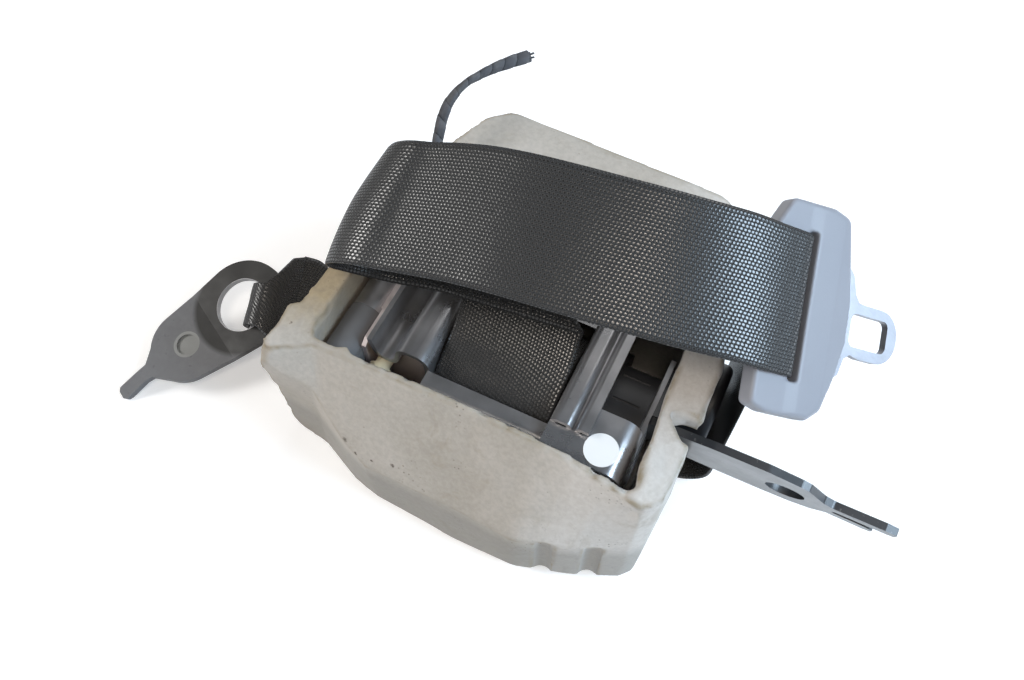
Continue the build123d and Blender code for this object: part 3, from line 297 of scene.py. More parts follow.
def plate_material():
    """Phosphated steel with painted shade darkening it round the webbing's bar, rubbed bright inside the
    ring.
    """
    look = Shader("dark_steel")
    smear = look.noise(70.0, 4.0, 0.65)
    specks = look.noise(420.0, 2.0, 0.5)
    away = look.math("DIVIDE", look.distance(place(RING_CENTRE)), RING_HOLE / 1000)
    shade = look.mix(look.ramp(smear, (0.40, 0.0), (0.70, 0.8)), PLATE_DARK, PLATE_LIGHT)
    # Painted shade: darkest within 1.8 hole radii of the ring's middle, fading out by 2
    ring_shade = look.ramp(look.times(away, 0.4), (0.72, 1.0), (0.80, 0.0))
    shade = look.mix(ring_shade, shade, PLATE_RING_SHADE)
    shade = look.mix(look.ramp(specks, (0.66, 0.0), (0.74, 0.35)), shade, (0.03, 0.03, 0.03))
    rubbed = look.ramp(look.math("SUBTRACT", away, look.times(smear, 0.05)), (0.985, 1.0), (1.0, 0.0))
    shade = look.mix(rubbed, shade, PLATE_RUBBED)
    roughness = look.ramp(smear, (0.3, 0.42), (0.75, 0.60))
    look.set(Base_Color=shade, Roughness=roughness, Specular_IOR_Level=0.30)
    look.set(Normal=look.bump(smear, 0.18, 0.0005, look.bump(specks, 0.10, 0.0002)))
    return look.material


def metal(name, colour, rough, grain=None, worn=0.25):
    """Bare metal with fine scratches, stretched by grain, and stains in a share of its area."""
    look = Shader(name)
    scratch = look.noise(240.0, 3.0, 0.6, stretch=grain)
    stain = look.noise(60.0, 4.0, 0.6)
    dull = tuple(c * 0.55 for c in colour)
    shade = look.mix(look.ramp(stain, (0.4, 0.0), (0.75, worn)), colour, dull)
    shade = look.mix(0.2, shade, look.ramp(scratch, (0.3, 0.3), (0.7, 0.75)), "OVERLAY")
    roughness = look.ramp(scratch, (0.3, rough), (0.7, rough + 0.18))
    look.set(Base_Color=shade, Metallic=1.0, Roughness=roughness)
    look.set(Normal=look.bump(scratch, 0.15, 0.0003))
    return look.material


def plastic(name, colour, rough, grain=900.0, fade=0.2, faded=None):
    """Moulded plastic with a fine grain and soft patches of its faded colour."""
    look = Shader(name)
    fine = look.noise(grain, 2.0, 0.5)
    soft = look.noise(30.0, 4.0, 0.6)
    faded = faded or tuple(min(1.0, c * 1.5 + 0.02) for c in colour)
    shade = look.mix(look.ramp(soft, (0.4, 0.0), (0.7, fade)), colour, faded)
    roughness = look.ramp(soft, (0.3, rough), (0.7, rough + 0.12))
    look.set(Base_Color=shade, Roughness=roughness, Specular_IOR_Level=0.45)
    look.set(Normal=look.bump(fine, 0.12, 0.0002))
    return look.material


# The weave: size of a knot across and along the strap, shift from one lane to the next, colours
KNOT_WIDE = 1.20
KNOT_LONG = 1.38
KNOT_SHIFT = 0.30
STRAND_WIDE = 0.30
# Painted shade in the pits between knots
WEAVE_PIT_SHADE = (0.001, 0.001, 0.0013)
WEAVE_THREAD = (0.007, 0.0068, 0.007)
WEAVE_KNOT = (0.028, 0.027, 0.026)
WEAVE_WARM = (WEAVE_KNOT[0] * 1.25, WEAVE_KNOT[1] * 1.12, WEAVE_KNOT[2])


def webbing_material():
    """Woven webbing: rounded knots in a slanting lattice, with painted shade darkening the pits between
    them.

    Its UV map is millimetres across and along the strap, over 100.
    """
    look = Shader("webbing")
    drift = look.noise(26.0, 2.0, 0.5, at=look.uv)
    across = look.line(look.axis(0, look.uv), 100.0, look.times(drift, 0.5))
    along = look.line(look.axis(1, look.uv), 100.0, look.times(drift, 1.0))
    lane = look.math("DIVIDE", across, KNOT_WIDE)
    pick = look.line(along, 1 / KNOT_LONG, look.times(look.math("FLOOR", lane), KNOT_SHIFT))

    def dome(turns):
        half = look.math("ABSOLUTE", look.math("SUBTRACT", look.math("FRACT", turns), 0.5))
        return look.math("COSINE", look.times(half, math.pi * 0.98))

    knots = look.times(dome(lane), dome(pick))
    strands = look.math("SINE", look.times(across, 2 * math.pi / STRAND_WIDE))
    height = look.line(strands, 0.03, knots)
    uneven = look.noise(62.0, 3.0, 0.7, at=look.uv)
    patch = look.noise(14.0, 4.0, 0.6)
    knot = look.mix(look.ramp(patch, (0.35, 0.0), (0.65, 0.6)), WEAVE_KNOT, WEAVE_WARM)
    knot = look.mix(look.ramp(uneven, (0.40, 0.0), (0.64, 0.8)), knot, WEAVE_THREAD)
    # Painted shade: the colour darkens with the weave's height from the knots down into the pits
    shade = look.mix(look.ramp(knots, (0.10, 0.0), (0.42, 1.0)), WEAVE_PIT_SHADE, WEAVE_THREAD)
    shade = look.mix(look.ramp(knots, (0.62, 0.0), (0.95, 1.0)), shade, knot)
    look.set(Base_Color=shade, Roughness=look.ramp(knots, (0.15, 1.00), (0.70, 0.26)))
    look.set(Specular_IOR_Level=0.5, IOR=1.80)
    look.set(Normal=look.bump(height, 0.17, 0.0004, look.bump(uneven, 0.08, 0.0004)))
    return look.material


# Cloth tape: how far one turn of it goes along the lead, its thread, and painted shade from its lap
# outward
TAPE_TURN = 6.5
TAPE_THREAD = 0.6
TAPE_LAP_SHADE = ((0.0, (0.012, 0.012, 0.014)), (0.14, (0.050, 0.050, 0.055)), (0.9, (0.085, 0.085, 0.093)))
TAPE_WORN = (0.19, 0.185, 0.18)


def tape_material():
    look = Shader("cloth_tape")
    along = look.times(look.axis(1, look.uv), 100.0)
    wrap = look.math("FRACT", look.line(along, 1 / TAPE_TURN, look.axis(0, look.uv)))
    threads = look.math("SINE", look.times(along, 2 * math.pi / TAPE_THREAD))
    # Painted shade: each turn is darkest just under the lap of the turn before, lighter outward
    shade = look.ramp(wrap, *TAPE_LAP_SHADE)
    shade = look.mix(look.ramp(look.noise(160.0), (0.5, 0.0), (0.75, 0.5)), shade, TAPE_WORN)
    look.set(Base_Color=shade, Roughness=0.7, Specular_IOR_Level=0.35)
    look.set(Normal=look.bump(wrap, 0.6, 0.0005, look.bump(threads, 0.25, 0.0002)))
    return look.material


# What gloss_black, metal and plastic take after the name
GLOSSY = {
    "black_steel": ((0.37, 0.37, 0.38), 0.20, 0.35, 0.85),
    "black_bracket": ((0.020, 0.022, 0.026), 0.30, 0.2),
}
METALS = {
    "rivet_steel": ((0.42, 0.42, 0.43), 0.34),
    "spring_steel": ((0.38, 0.39, 0.42), 0.28),
    "zinc": ((0.88, 0.80, 0.79), 0.40, None, 0.12),
    "generator_steel": ((0.45, 0.45, 0.46), 0.35),
    "spool_metal": ((0.5, 0.5, 0.5), 0.45),
    "ball_steel": ((0.72, 0.72, 0.73), 0.1, None, 0.05),
    "tongue_steel": ((0.40, 0.40, 0.43), 0.46, (1, 6, 1), 0.5),
}
PLASTICS = {
    "white_plastic": ((0.72, 0.71, 0.66), 0.45),
    "black_plastic": ((0.016, 0.016, 0.018), 0.38),
    "cream_plastic": ((0.66, 0.58, 0.40), 0.4),
    "grey_plastic": ((0.115, 0.115, 0.118), 0.55, 500.0, 0.4),
    "sticker": ((0.78, 0.78, 0.77), 0.5, 1500.0, 0.1),
    "blue_grey_plastic": ((0.248, 0.256, 0.288), 0.36, 1100.0, 0.3, (0.288, 0.297, 0.328)),
    "light_plastic": ((0.200, 0.205, 0.200), 0.55, 700.0, 0.5),
}
MATERIALS = {
    "foam": foam_material(),
    "dark_steel": plate_material(),
    "webbing": webbing_material(),
    "tape": tape_material(),
}
for make, looks in ((gloss_black, GLOSSY), (metal, METALS), (plastic, PLASTICS)):
    for name, values in looks.items():
        MATERIALS[name] = make(name, *values)
for sub in frame["record"]["subparts"]:
    dress(frame["nodes"][sub["node"]], MATERIALS[sub["material_slot"]])


# Straps: a row is the place of the strap's middle, the direction across it, its width and thickness.
# GAP is the room between a strap and what it bends over, SELVAGE the share of THICK at its edges.

WEB = 47.0
THICK = 1.2
GAP = 0.3
SELVAGE = 0.45


def row(centre, side, width=WEB, thick=THICK):
    return [*centre, *side, width, thick]


def smooth_rows(rows, step=1.2):
    """Rows about step apart on a smooth curve through the given ones."""
    rows = np.asarray(rows, float)
    chord = np.maximum(np.linalg.norm(np.diff(rows[:, :3], axis=0), axis=1), 1e-6)
    slope = np.diff(rows, axis=0) / chord[:, None]
    tangent = np.empty_like(rows)
    tangent[0], tangent[-1] = slope[0], slope[-1]
    weight = chord[1:] / (chord[:-1] + chord[1:])
    tangent[1:-1] = slope[:-1] * weight[:, None] + slope[1:] * (1 - weight)[:, None]
    out = []
    for i, length in enumerate(chord):
        count = max(1, int(round(length / step)))
        for k in range(count):
            u = k / count
            start = 2 * u ** 3 - 3 * u ** 2 + 1
            leave = (u ** 3 - 2 * u ** 2 + u) * length
            end = -2 * u ** 3 + 3 * u ** 2
            arrive = (u ** 3 - u ** 2) * length
            out.append(rows[i] * start + tangent[i] * leave + rows[i + 1] * end + tangent[i + 1] * arrive)
    out.append(rows[-1])
    return np.array(out)


def across_values(count=22):
    """Places across the strap from -0.5 to 0.5, closer together at the selvages."""
    v = np.linspace(-1, 1, count + 1)
    return 0.5 * np.sign(v) * (1 - (1 - np.abs(v)) ** 1.25)


def sheet_grid(samples, v):
    """Middle points of the strap: a line of them for each sample, one for each place across."""
    side = samples[:, 3:6] / np.linalg.norm(samples[:, 3:6], axis=1, keepdims=True)
    return samples[:, None, :3] + side[:, None, :] * (samples[:, 6, None] * v[None, :])[:, :, None]


def length_along(centres):
    """The distance along a line of points to each of them."""
    return np.concatenate([[0], np.cumsum(np.linalg.norm(np.diff(centres, axis=0), axis=1))])


def grid_normals(grid):
    normal = np.cross(np.gradient(grid, axis=0), np.gradient(grid, axis=1))
    return normal / np.maximum(np.linalg.norm(normal, axis=2, keepdims=True), 1e-9)


def ripple(grid, along, v, amount):
    """A slight wave of the selvages, none in the middle."""
    wave = np.sin(along / 6.3)[:, None] * (v > 0) + np.sin(along / 7.9 + 1.3)[:, None] * (v < 0)
    wave = wave * (np.abs(v * 2) ** 3)[None, :] * amount
    return grid + grid_normals(grid) * wave[:, :, None]


def strap_shell(name, grid, thick, along, across):
    """A closed strap round a grid of middle points (rows along, columns across)."""
    normal = grid_normals(grid)
    edge = np.abs(np.linspace(-1, 1, grid.shape[1]))
    half = thick[:, None] / 2 * np.where(edge > 0.999, SELVAGE, 1.0)[None, :]
    top = grid + normal * half[:, :, None]
    low = grid - normal * half[:, :, None]
    rows, cols = grid.shape[:2]
    points = np.concatenate([top.reshape(-1, 3), low.reshape(-1, 3)])
    uv = np.stack(np.broadcast_arrays(across[None, :] / 100.0, along[:, None] / 100.0), axis=2)
    uv = uv.reshape(-1, 2)
    n = rows * cols
    faces = []
    for i in range(rows - 1):
        for j in range(cols - 1):
            a, b = i * cols + j, (i + 1) * cols + j
            faces.append((a, a + 1, b + 1, b))
            faces.append((n + a, n + b, n + b + 1, n + a + 1))
        for j in (0, cols - 1):
            a, b = i * cols + j, (i + 1) * cols + j
            faces.append((a, b, n + b, n + a) if j == 0 else (a, n + a, n + b, b))
    for i in (0, rows - 1):
        for j in range(cols - 1):
            a = i * cols + j
            faces.append((a, n + a, n + a + 1, a + 1) if i == 0 else (a, a + 1, n + a + 1, n + a))
    return mesh_object(name, place(points), faces, np.concatenate([uv, uv]))


# Top strap: off the roll, folded along the diagonal of a square, turned back at the left and over
# the block to the tongue. RUN points right along it over the block, ACROSS back and LIFT up. The
# folded square starts SQUARE behind the spool and its grid ends at the run FOLD_END; the middles of
# its two layers are at FOLD_LOW and FOLD_HIGH.

ROLL_RADIUS = 27.0
ROLL_X = -3.25
ACROSS = unit((-0.1, 0.9, 0.43))
RUN = unit(np.cross(ACROSS, (0, 0, 1)))
LIFT = np.cross(RUN, ACROSS)
FOLD_LOW = 28.4
FOLD_HIGH = 29.9
SQUARE = 24.5
FOLD_END = -30.0
TURN_RUN = -47
TURN_ACROSS = 46
TURN_RADIUS = 18.9
BULGE = 4.2
RIPPLE = 0.18


def on_top(run, across, height):
    return RUN * run + ACROSS * across + LIFT * height


def turned(angle):
    a = math.radians(angle)
    return ACROSS * math.cos(a) + RUN * math.sin(a)


def leaving_grid(v):
    """From the roll's front, over its top and up to the folded square."""
    radius = ROLL_RADIUS + GAP + THICK / 2
    rows = []
    for angle in range(178, 114, -9):
        a = math.radians(angle)
        rows.append(row((ROLL_X, radius * math.cos(a), radius * math.sin(a)), (1, 0, 0)))
    for across in (10.0, 24.0):
        rows.append(row(on_top(ROLL_X, across, FOLD_LOW), RUN))
    return sheet_grid(smooth_rows(rows), v)


def fold_grid(v):
    """The square that is folded along its diagonal, one column for each place across."""
    start = ROLL_X + v * WEB
    line = SQUARE + (ROLL_X + WEB / 2 - start)
    radius = (FOLD_HIGH - FOLD_LOW) / 2
    arc = math.pi * radius
    end = SQUARE + ROLL_X + WEB / 2 - FOLD_END + arc * math.sqrt(2)
    rows = []
    for along in np.linspace(25.0, end, 86):
        past_line = (along - line) / math.sqrt(2)
        swing = np.clip(past_line, 0, arc) / radius
        past_fold = np.maximum(past_line - arc, 0)
        out = radius * np.sin(swing)
        run = start + out / math.sqrt(2) - past_fold * math.sqrt(2)
        across = np.minimum(along, line) + out / math.sqrt(2)
        height = (FOLD_LOW + FOLD_HIGH) / 2 - radius * np.cos(swing)
        rows.append(run[:, None] * RUN + across[:, None] * ACROSS + height[:, None] * LIFT)
    return np.array(rows)


def top_rows():
    """After the fold: the left turn, then over the block. Each is run, across, height and turn."""
    rows = [(-34, 48, FOLD_HIGH, 0), (-41, 47.2, FOLD_HIGH, 4)]
    for k in range(10):
        phi = math.radians(270 - 20 * k)
        share = 1 - abs((k - 4.5) / 4.5)
        rows.append((TURN_RUN + TURN_RADIUS * math.cos(phi), TURN_ACROSS - 3.5 * share,
                     FOLD_HIGH + TURN_RADIUS + TURN_RADIUS * math.sin(phi), 8 + 5.5 * share))
    rows += [(-36, 47.4, 70.2, 4), (-22, 48.7, 73.4, 1), (-8, 49, 76.4, 0), (8, 49, 78.6, 0),
             (24, 49, 79.4, 0), (38, 49.2, 79.0, -1), (50, 49.6, 77.4, -3), (60, 50.3, 74.9, -5),
             (68, 51, 71.8, -7)]
    return [row(on_top(run, across, height), turned(turn)) for run, across, height, turn in rows]


# The tongue's place and directions, and the round edge that the strap bends over from ARRIVE to 90
TONGUE_AT = np.array([83.3, 33.0, 70.6])
TONGUE_X = unit((0.77, 0.43, -0.49))
TONGUE_N = unit(np.cross(TONGUE_X, (-0.255, 0.872, 0.426)))
TONGUE_Y = np.cross(TONGUE_N, TONGUE_X)
PIVOT = TONGUE_AT + TONGUE_X * -3.6 + TONGUE_Y * 0.9
EDGE_RADIUS = 3.4
BEND = EDGE_RADIUS + GAP + THICK / 2
ARRIVE = 4.0


def over_the_bar(angle):
    a = math.radians(angle)
    return PIVOT + TONGUE_N * (BEND * math.cos(a)) + TONGUE_X * (BEND * math.sin(a))


def bar_rows():
    """Into the tongue and round its edge, to where the strap points down."""
    lift = math.radians(ARRIVE)
    run = TONGUE_X * math.cos(lift) - TONGUE_N * math.sin(lift)
    rows = [row(over_the_bar(ARRIVE) - run * back, TONGUE_Y) for back in (10.0, 4.0)]
    return rows + [row(over_the_bar(ARRIVE + (90 - ARRIVE) * k / 5), TONGUE_Y) for k in range(6)]


def turn_bulge(grid, v):
    """How much further out the strap stands at the left turn, most behind its middle."""
    out = np.clip((-(grid @ RUN) - 48.0) / 16.0, 0, 1)
    share = np.clip(1.0 - ((-v - 0.10) / 0.72) ** 2, 0, 1)
    lift = np.clip((grid @ LIFT - FOLD_HIGH) / 16.0, 0, 1)
    return -(out * lift * share[None, :] * BULGE)[:, :, None] * RUN


def top_strap():
    v = across_values()
    # After the fold the strap's first edge lies at the far side, so the places across are turned
    rest = sheet_grid(smooth_rows(top_rows() + bar_rows()), -v)
    grid = np.concatenate([leaving_grid(v)[:-1], fold_grid(v)[:-1], rest])
    along = length_along(grid[:, grid.shape[1] // 2])
    grid = ripple(grid, along, v, RIPPLE)
    grid = grid + turn_bulge(grid, v)
    obj = strap_shell("top_strap", grid, np.full(len(grid), THICK), along, (v + 0.5) * WEB)
    return obj, along[-1]


# Lap strap: from the tongue down the right side and under the block. It lies at YAW to the spool.

YAW = math.radians(12)
LAP_RUN = np.array([math.cos(YAW), math.sin(YAW), 0])
LAP_SIDE = np.array([-math.sin(YAW), math.cos(YAW), 0])
LAP_BACK = 20.6
LAP_X = 77.3
UNDER_Z = -48.9
UNDER_BEND = 13

# The eye plate: its bolt hole and directions, the bar that holds the strap, and the strap's way off it
EYE_AT = np.array([-152.5, -31.0, -38.6])
EYE_X = unit((0.473, 0.826, 0.311))
EYE_N = unit(np.cross(EYE_X, np.cross((-0.10, -0.30, 0.95), EYE_X)))
EYE_Y = np.cross(EYE_N, EYE_X)
EYE_TURN = math.radians(-47)
OUT = EYE_X * math.cos(EYE_TURN) + EYE_Y * math.sin(EYE_TURN)
BAR = EYE_Y * math.cos(EYE_TURN) - EYE_X * math.sin(EYE_TURN)
BAR_WIDE = 9
BAR_THICK = 3
RING_AHEAD = 31
RING_ASIDE = 1
BAR_OUT = 11.1
EYE_PIVOT = EYE_AT + EYE_X * RING_AHEAD - EYE_Y * RING_ASIDE + OUT * BAR_OUT
STACK_DIP = math.radians(30)
STACK_RUN = LAP_RUN * math.cos(STACK_DIP) - np.array([0, 0, math.sin(STACK_DIP)])
STACK_RUN = unit(STACK_RUN - BAR * STACK_RUN.dot(BAR))
STACK = 14.0
FAN_SHIFT = 5.4


def lap_point(x, z):
    return np.array([x, LAP_BACK + math.tan(YAW) * x, z])


def lap_side(tilt):
    a = math.radians(tilt)
    return LAP_SIDE * math.cos(a) + np.array([0, 0, math.sin(a)])


def lap_strap():
    """From the tongue down the right side, under the cover and out to the sewn loop."""
    start = over_the_bar(90)
    leave = start - TONGUE_N * 6.3
    turn = np.array([LAP_X, 36.2, 62.5])
    settle = np.array([LAP_X, 36.2, 57.5])
    rows = [row(start, TONGUE_Y), row(leave, TONGUE_Y)]
    for u in (0.33, 0.67, 1.0):
        rows.append(row(leave * (1 - u) ** 2 + turn * (2 * u * (1 - u)) + settle * u ** 2, lap_side(26)))
    for z, tilt in ((40, 21), (22, 15), (5, 9), (-12, 4), (-27, 0)):
        rows.append(row(lap_point(LAP_X, z), lap_side(tilt)))
    for angle in range(0, 91, 18):
        a = math.radians(angle)
        down = lap_point(LAP_X, UNDER_Z + UNDER_BEND * (1 - math.sin(a)))
        rows.append(row(down - LAP_RUN * (UNDER_BEND * (1 - math.cos(a))), LAP_SIDE))
    for x in (30, -15, -60, -82):
        rows.append(row(lap_point(x, UNDER_Z), LAP_SIDE))
    rows.append(row(lap_point(-88, UNDER_Z + 0.4), LAP_SIDE))
    rows.append(row(lap_point(-95, UNDER_Z + 3.4) + np.array([0, 1.5, 0]), lap_side(5), WEB, 1.4))
    rows.append(row(EYE_PIVOT + STACK_RUN * (STACK + 4) + BAR * FAN_SHIFT, BAR, WEB, 2.2))
    rows.append(row(EYE_PIVOT + STACK_RUN * (STACK - 2.5) + BAR * FAN_SHIFT, BAR, WEB - 0.5, 4.4))
    samples = smooth_rows(rows)
    v = across_values()
    along = length_along(samples[:, :3])
    obj = strap_shell("lap_strap", sheet_grid(samples, v), samples[:, 7], along, (v + 0.5) * WEB)
    return obj, along[-1]


# Sewn loop: two layers, LAYER to each side of their middle, that part to go round the eye plate's bar

LAYER = 1.25
LOOP_GAP = 0.55
LOOP_SHORT = 2.45
LOOP_THICK = 2.4
PLEATS = 3


def fan(x):
    """The near and far edge of the gathered strap at a distance past the bar."""
    near = np.interp(x, [-3.0, 7.2, STACK], [-10.0, -16.2, -19.0])
    far = np.interp(x, [-3.0, 1.0, 6.4, STACK], [10.0, 16.3, 25.5, 29.5])
    return near, far


def loop_path():
    """The loop's line in the plane across the bar: in, round the bar, and out again."""
    around = math.hypot(BAR_WIDE, BAR_THICK) / 2 + LOOP_GAP + THICK
    reach = STACK - LOOP_SHORT
    half = math.acos((around - LAYER) / reach)
    path = [(reach, LAYER)]
    for k in range(33):
        a = half + (2 * math.pi - 2 * half) * k / 32
        path.append((around * math.cos(a), around * math.sin(a)))
    return path + [(reach, -LAYER)]


def sewn_loop():
    """The doubled strap round the eye plate's bar, gathered there and fanning out after it."""
    samples = smooth_rows([row((x, y, 0), BAR, thick=LOOP_THICK) for x, y in loop_path()], 0.7)
    past = samples[:, 0]
    v = across_values(36)
    near, far = fan(past)
    side = near[:, None] + (far - near)[:, None] * (v + 0.5)[None, :]
    depth = np.interp(past, [-8.0, 2.0, STACK - 4], [0.08, 0.14, 0.0])
    pleat = depth[:, None] * np.sin((v + 0.5) * math.pi * PLEATS)[None, :]
    round_the_bar = np.interp(past, [1.0, 3.0], [1.0, 0.0])
    away = samples[:, :2] * np.stack([round_the_bar, np.ones(len(samples))], axis=1)
    away /= np.maximum(np.linalg.norm(away, axis=1, keepdims=True), 1e-6)
    out = samples[:, 0:1] + pleat * away[:, 0:1]
    rise = samples[:, 1:2] + pleat * away[:, 1:2]
    up = np.cross(BAR, STACK_RUN)
    grid = EYE_PIVOT + out[:, :, None] * STACK_RUN + rise[:, :, None] * up + side[:, :, None] * BAR
    along = length_along(samples[:, :3])
    return strap_shell("sewn_loop", grid, samples[:, 7], along, (v + 0.5) * WEB)


top, top_length = top_strap()
lap, lap_length = lap_strap()
loop = sewn_loop()
for piece in (top, lap, loop):
    dress(piece, MATERIALS["webbing"])
    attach(piece, "cover")
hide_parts("webbing_top")
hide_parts("webbing_lap")
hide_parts("webbing_lap")


# Wound webbing: the roll's surface with the weave running round it

ROLL_CORE = 12.05
ROLL_BEVEL = 0.4
ROLL_EDGE = 0.35
ROLL_STEPS = 12
ROLL_TURNS = 120


def roll_profile(left, right):
    """Place along the axle and radius, from the core at the left to the core at the right."""
    wide = WEB - 2 * ROLL_EDGE
    flat = [(left + ROLL_EDGE + wide * k / ROLL_STEPS, ROLL_RADIUS) for k in range(ROLL_STEPS + 1)]
    shoulder = ROLL_RADIUS - ROLL_BEVEL
    return [(left, ROLL_CORE), (left, shoulder), *flat, (right, shoulder), (right, ROLL_CORE)]


def roll():
    left, right = ROLL_X - WEB / 2, ROLL_X + WEB / 2
    profile = roll_profile(left, right)
    points, uvs, faces = [], [], []
    n = len(profile)
    for i in range(ROLL_TURNS + 1):
        a = 2 * math.pi * i / ROLL_TURNS
        for x, r in profile:
            points.append((x, r * math.cos(a), r * math.sin(a)))
            uvs.append(((x - left) / 100.0, ROLL_RADIUS * a / 100.0))
    for i in range(ROLL_TURNS):
        for j in range(n - 1):
            a, b = i * n + j, (i + 1) * n + j
            faces.append((a, b, b + 1, a + 1))
        a, b = i * n, (i + 1) * n
        faces.append((a, a + n - 1, b + n - 1, b))
    return mesh_object("webbing_roll", place(points), faces, uvs)


rolled = roll()
dress(rolled, MATERIALS["webbing"])
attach(rolled, "spool")
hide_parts("wound_webbing")


# Foam cover: the CAD shape with softened edges and an uneven skin. Its voxel and moves are metres.

FOAM_VOXEL = 0.0010
FOAM_ROUNDS = 2
UNEVEN = 0.0005
CHIP = 0.0022
WAVE = 0.0024
TEAR = 0.0022
TIP = 0.0030
TOOTH = 0.0022


def softened(node, voxel, rounds):
    """The CAD solid as one even skin, smoothed; voxel is in metres."""
    work = linked("work", frame["nodes"][node].data.copy())
    remesh = work.modifiers.new("remesh", "REMESH")
    remesh.mode = "VOXEL"
    remesh.voxel_size = voxel
    smooth = work.modifiers.new("smooth", "SMOOTH")
    smooth.factor = 0.5
    smooth.iterations = rounds
    bpy.context.view_layer.update()
    graph = bpy.context.evaluated_depsgraph_get()
    mesh = bpy.data.meshes.new_from_object(work.evaluated_get(graph))
    bpy.data.objects.remove(work)
    mesh.polygons.foreach_set("use_smooth", [True] * len(mesh.polygons))
    return mesh


def vertex_values(mesh, what):
    values = np.empty(len(mesh.vertices) * 3)
    mesh.vertices.foreach_get(what, values)
    return values.reshape(-1, 3)


def noise_at(points, scale, shift=(0.0, 0.0, 0.0)):
    return np.array([noise.noise(Vector(p) * scale + Vector(shift)) for p in points])


def step_up(value, low, high):
    """0 below low, 1 above high, smooth between."""
    share = np.clip((value - low) / (high - low), 0, 1)
    return share * share * (3 - 2 * share)


def hump(spots, middle, reach):
    """1 at the middle, falling off over reach along each axis."""
    return np.exp(-(((spots - np.array(middle)) / np.array(reach)) ** 2).sum(axis=1))


def edge_measure(mesh, points, normals):
    """How sharply the skin turns outward at each vertex, 0 to 1, spread a little to its neighbours."""
    pairs = np.empty(len(mesh.edges) * 2, int)
    mesh.edges.foreach_get("vertices", pairs)
    a, b = pairs.reshape(-1, 2).T
    run = points[b] - points[a]
    length = np.maximum(np.linalg.norm(run, axis=1), 1e-9)
    total, turn = np.zeros(len(points)), np.zeros(len(points))
    for at, sign in ((a, 1.0), (b, -1.0)):
        np.add.at(turn, at, -sign * np.einsum("ij,ij->i", run, normals[at]) / length)
        np.add.at(total, at, 1.0)
    turn /= np.maximum(total, 1)
    for _ in range(3):
        near = np.zeros(len(points))
        np.add.at(near, a, turn[b])
        np.add.at(near, b, turn[a])
        turn = 0.4 * turn + 0.6 * near / np.maximum(total, 1)
    return np.clip((turn - 0.025) / 0.08, 0, 1)


def foam_moves(points, normals, edge):
    """How far each vertex of the skin moves, in metres."""
    spots = points * 1000 + ORIGIN
    x, y, z = spots.T
    lumps = noise_at(points, 45.0)
    move = normals * (np.minimum(lumps, 0.1) * UNEVEN)[:, None]
    chips = noise_at(points, 260.0, (7.0, 3.0, 1.0))
    front_rim = step_up(z, 27.0, 33.0) * step_up(-y, 10.0, 16.0)
    move -= normals * (np.clip(chips - 0.05, 0, 1) * edge * front_rim * CHIP)[:, None]
    waves = noise_at(points, 95.0, (1.0, 8.0, 4.0))
    right_rim = step_up(x, 52.0, 60.0) * step_up(z, 18.0, 27.0) * step_up(-y, -45.0, -30.0)
    move += (waves * right_rim * WAVE)[:, None] * normals * np.array([1.0, 1.0, 0.6])
    left_rim = step_up(-x, 70.0, 78.0) * step_up(z, -4.0, 20.0)
    torn = left_rim * step_up(-y, 19.5, 21.8) * step_up(y, -62.0, -50.0)
    move += (torn * TEAR)[:, None] * np.array([-0.9, -0.35, 0.25])
    tip = hump(spots, (-85.0, -23.0, 34.0), (3.0, 2.2, 4.0))
    move += (tip * TIP)[:, None] * np.array([-0.3, 0.5, 0.8])
    tooth = hump(spots, (-57.0, -30.3, 34.0), (2.0, 1.8, 2.5))
    move += (tooth * TOOTH)[:, None] * np.array([0.1, 0.8, 0.5])
    return move


def foam():
    mesh = softened("foam_cover", FOAM_VOXEL, FOAM_ROUNDS)
    points = vertex_values(mesh, "co")
    normals = vertex_values(mesh, "normal")
    edge = edge_measure(mesh, points, normals)
    attribute = mesh.attributes.new("edge", "FLOAT", "POINT")
    attribute.data.foreach_set("value", edge.astype(np.float32))
    points = points + foam_moves(points, normals, edge)
    mesh.vertices.foreach_set("co", points.ravel())
    return linked("foam_shell", mesh)


shell = foam()
dress(shell, MATERIALS["foam"])
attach(shell, "cover")
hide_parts("foam_cover")


# Tongue moulding: the CAD shape with the mould's soft edges, its voxel in metres

MOULD_VOXEL = 0.0005
MOULD_ROUNDS = 9

skin = linked("tongue_skin", softened("tongue_moulding", MOULD_VOXEL, MOULD_ROUNDS))
dress(skin, MATERIALS["blue_grey_plastic"])
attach(skin, "tongue")
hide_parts("tongue_moulding")


# Taped lead: a flat band that twists round its line, and the wires that stick out of its cut end.
# Its route and pitches are millimetres, its radii and steps metres. A wire has its place round the
# lead in radians and its reach past the end in millimetres.

LEAD = [(-61.5, 31.5, 26.5), (-60.5, 37.5, 37), (-61, 46.5, 46), (-64, 58, 54), (-66.5, 69, 59.5),
        (-65.5, 80, 61.5), (-61.5, 91, 60.5), (-56.5, 102, 58.5), (-51, 112.5, 55.5)]
LEAD_RADIUS = 0.0018
LEAD_STEP = 0.0006
LEAD_HOLLOW = 0.0006
LEAD_RIM = 24
WRAP_PITCH = 7.5
TWIST_PITCH = 17
CREASE_PITCH = 6
WIRES = ((0.3, 2.2), (1.5, 1.2), (2.7, 1.9), (4.0, 1.4), (5.2, 2.4))
WIRE_RADIUS = 0.00042
WIRE_RIM = 8
WIRE_STEPS = 4
WIRE_ROOT = 1.6


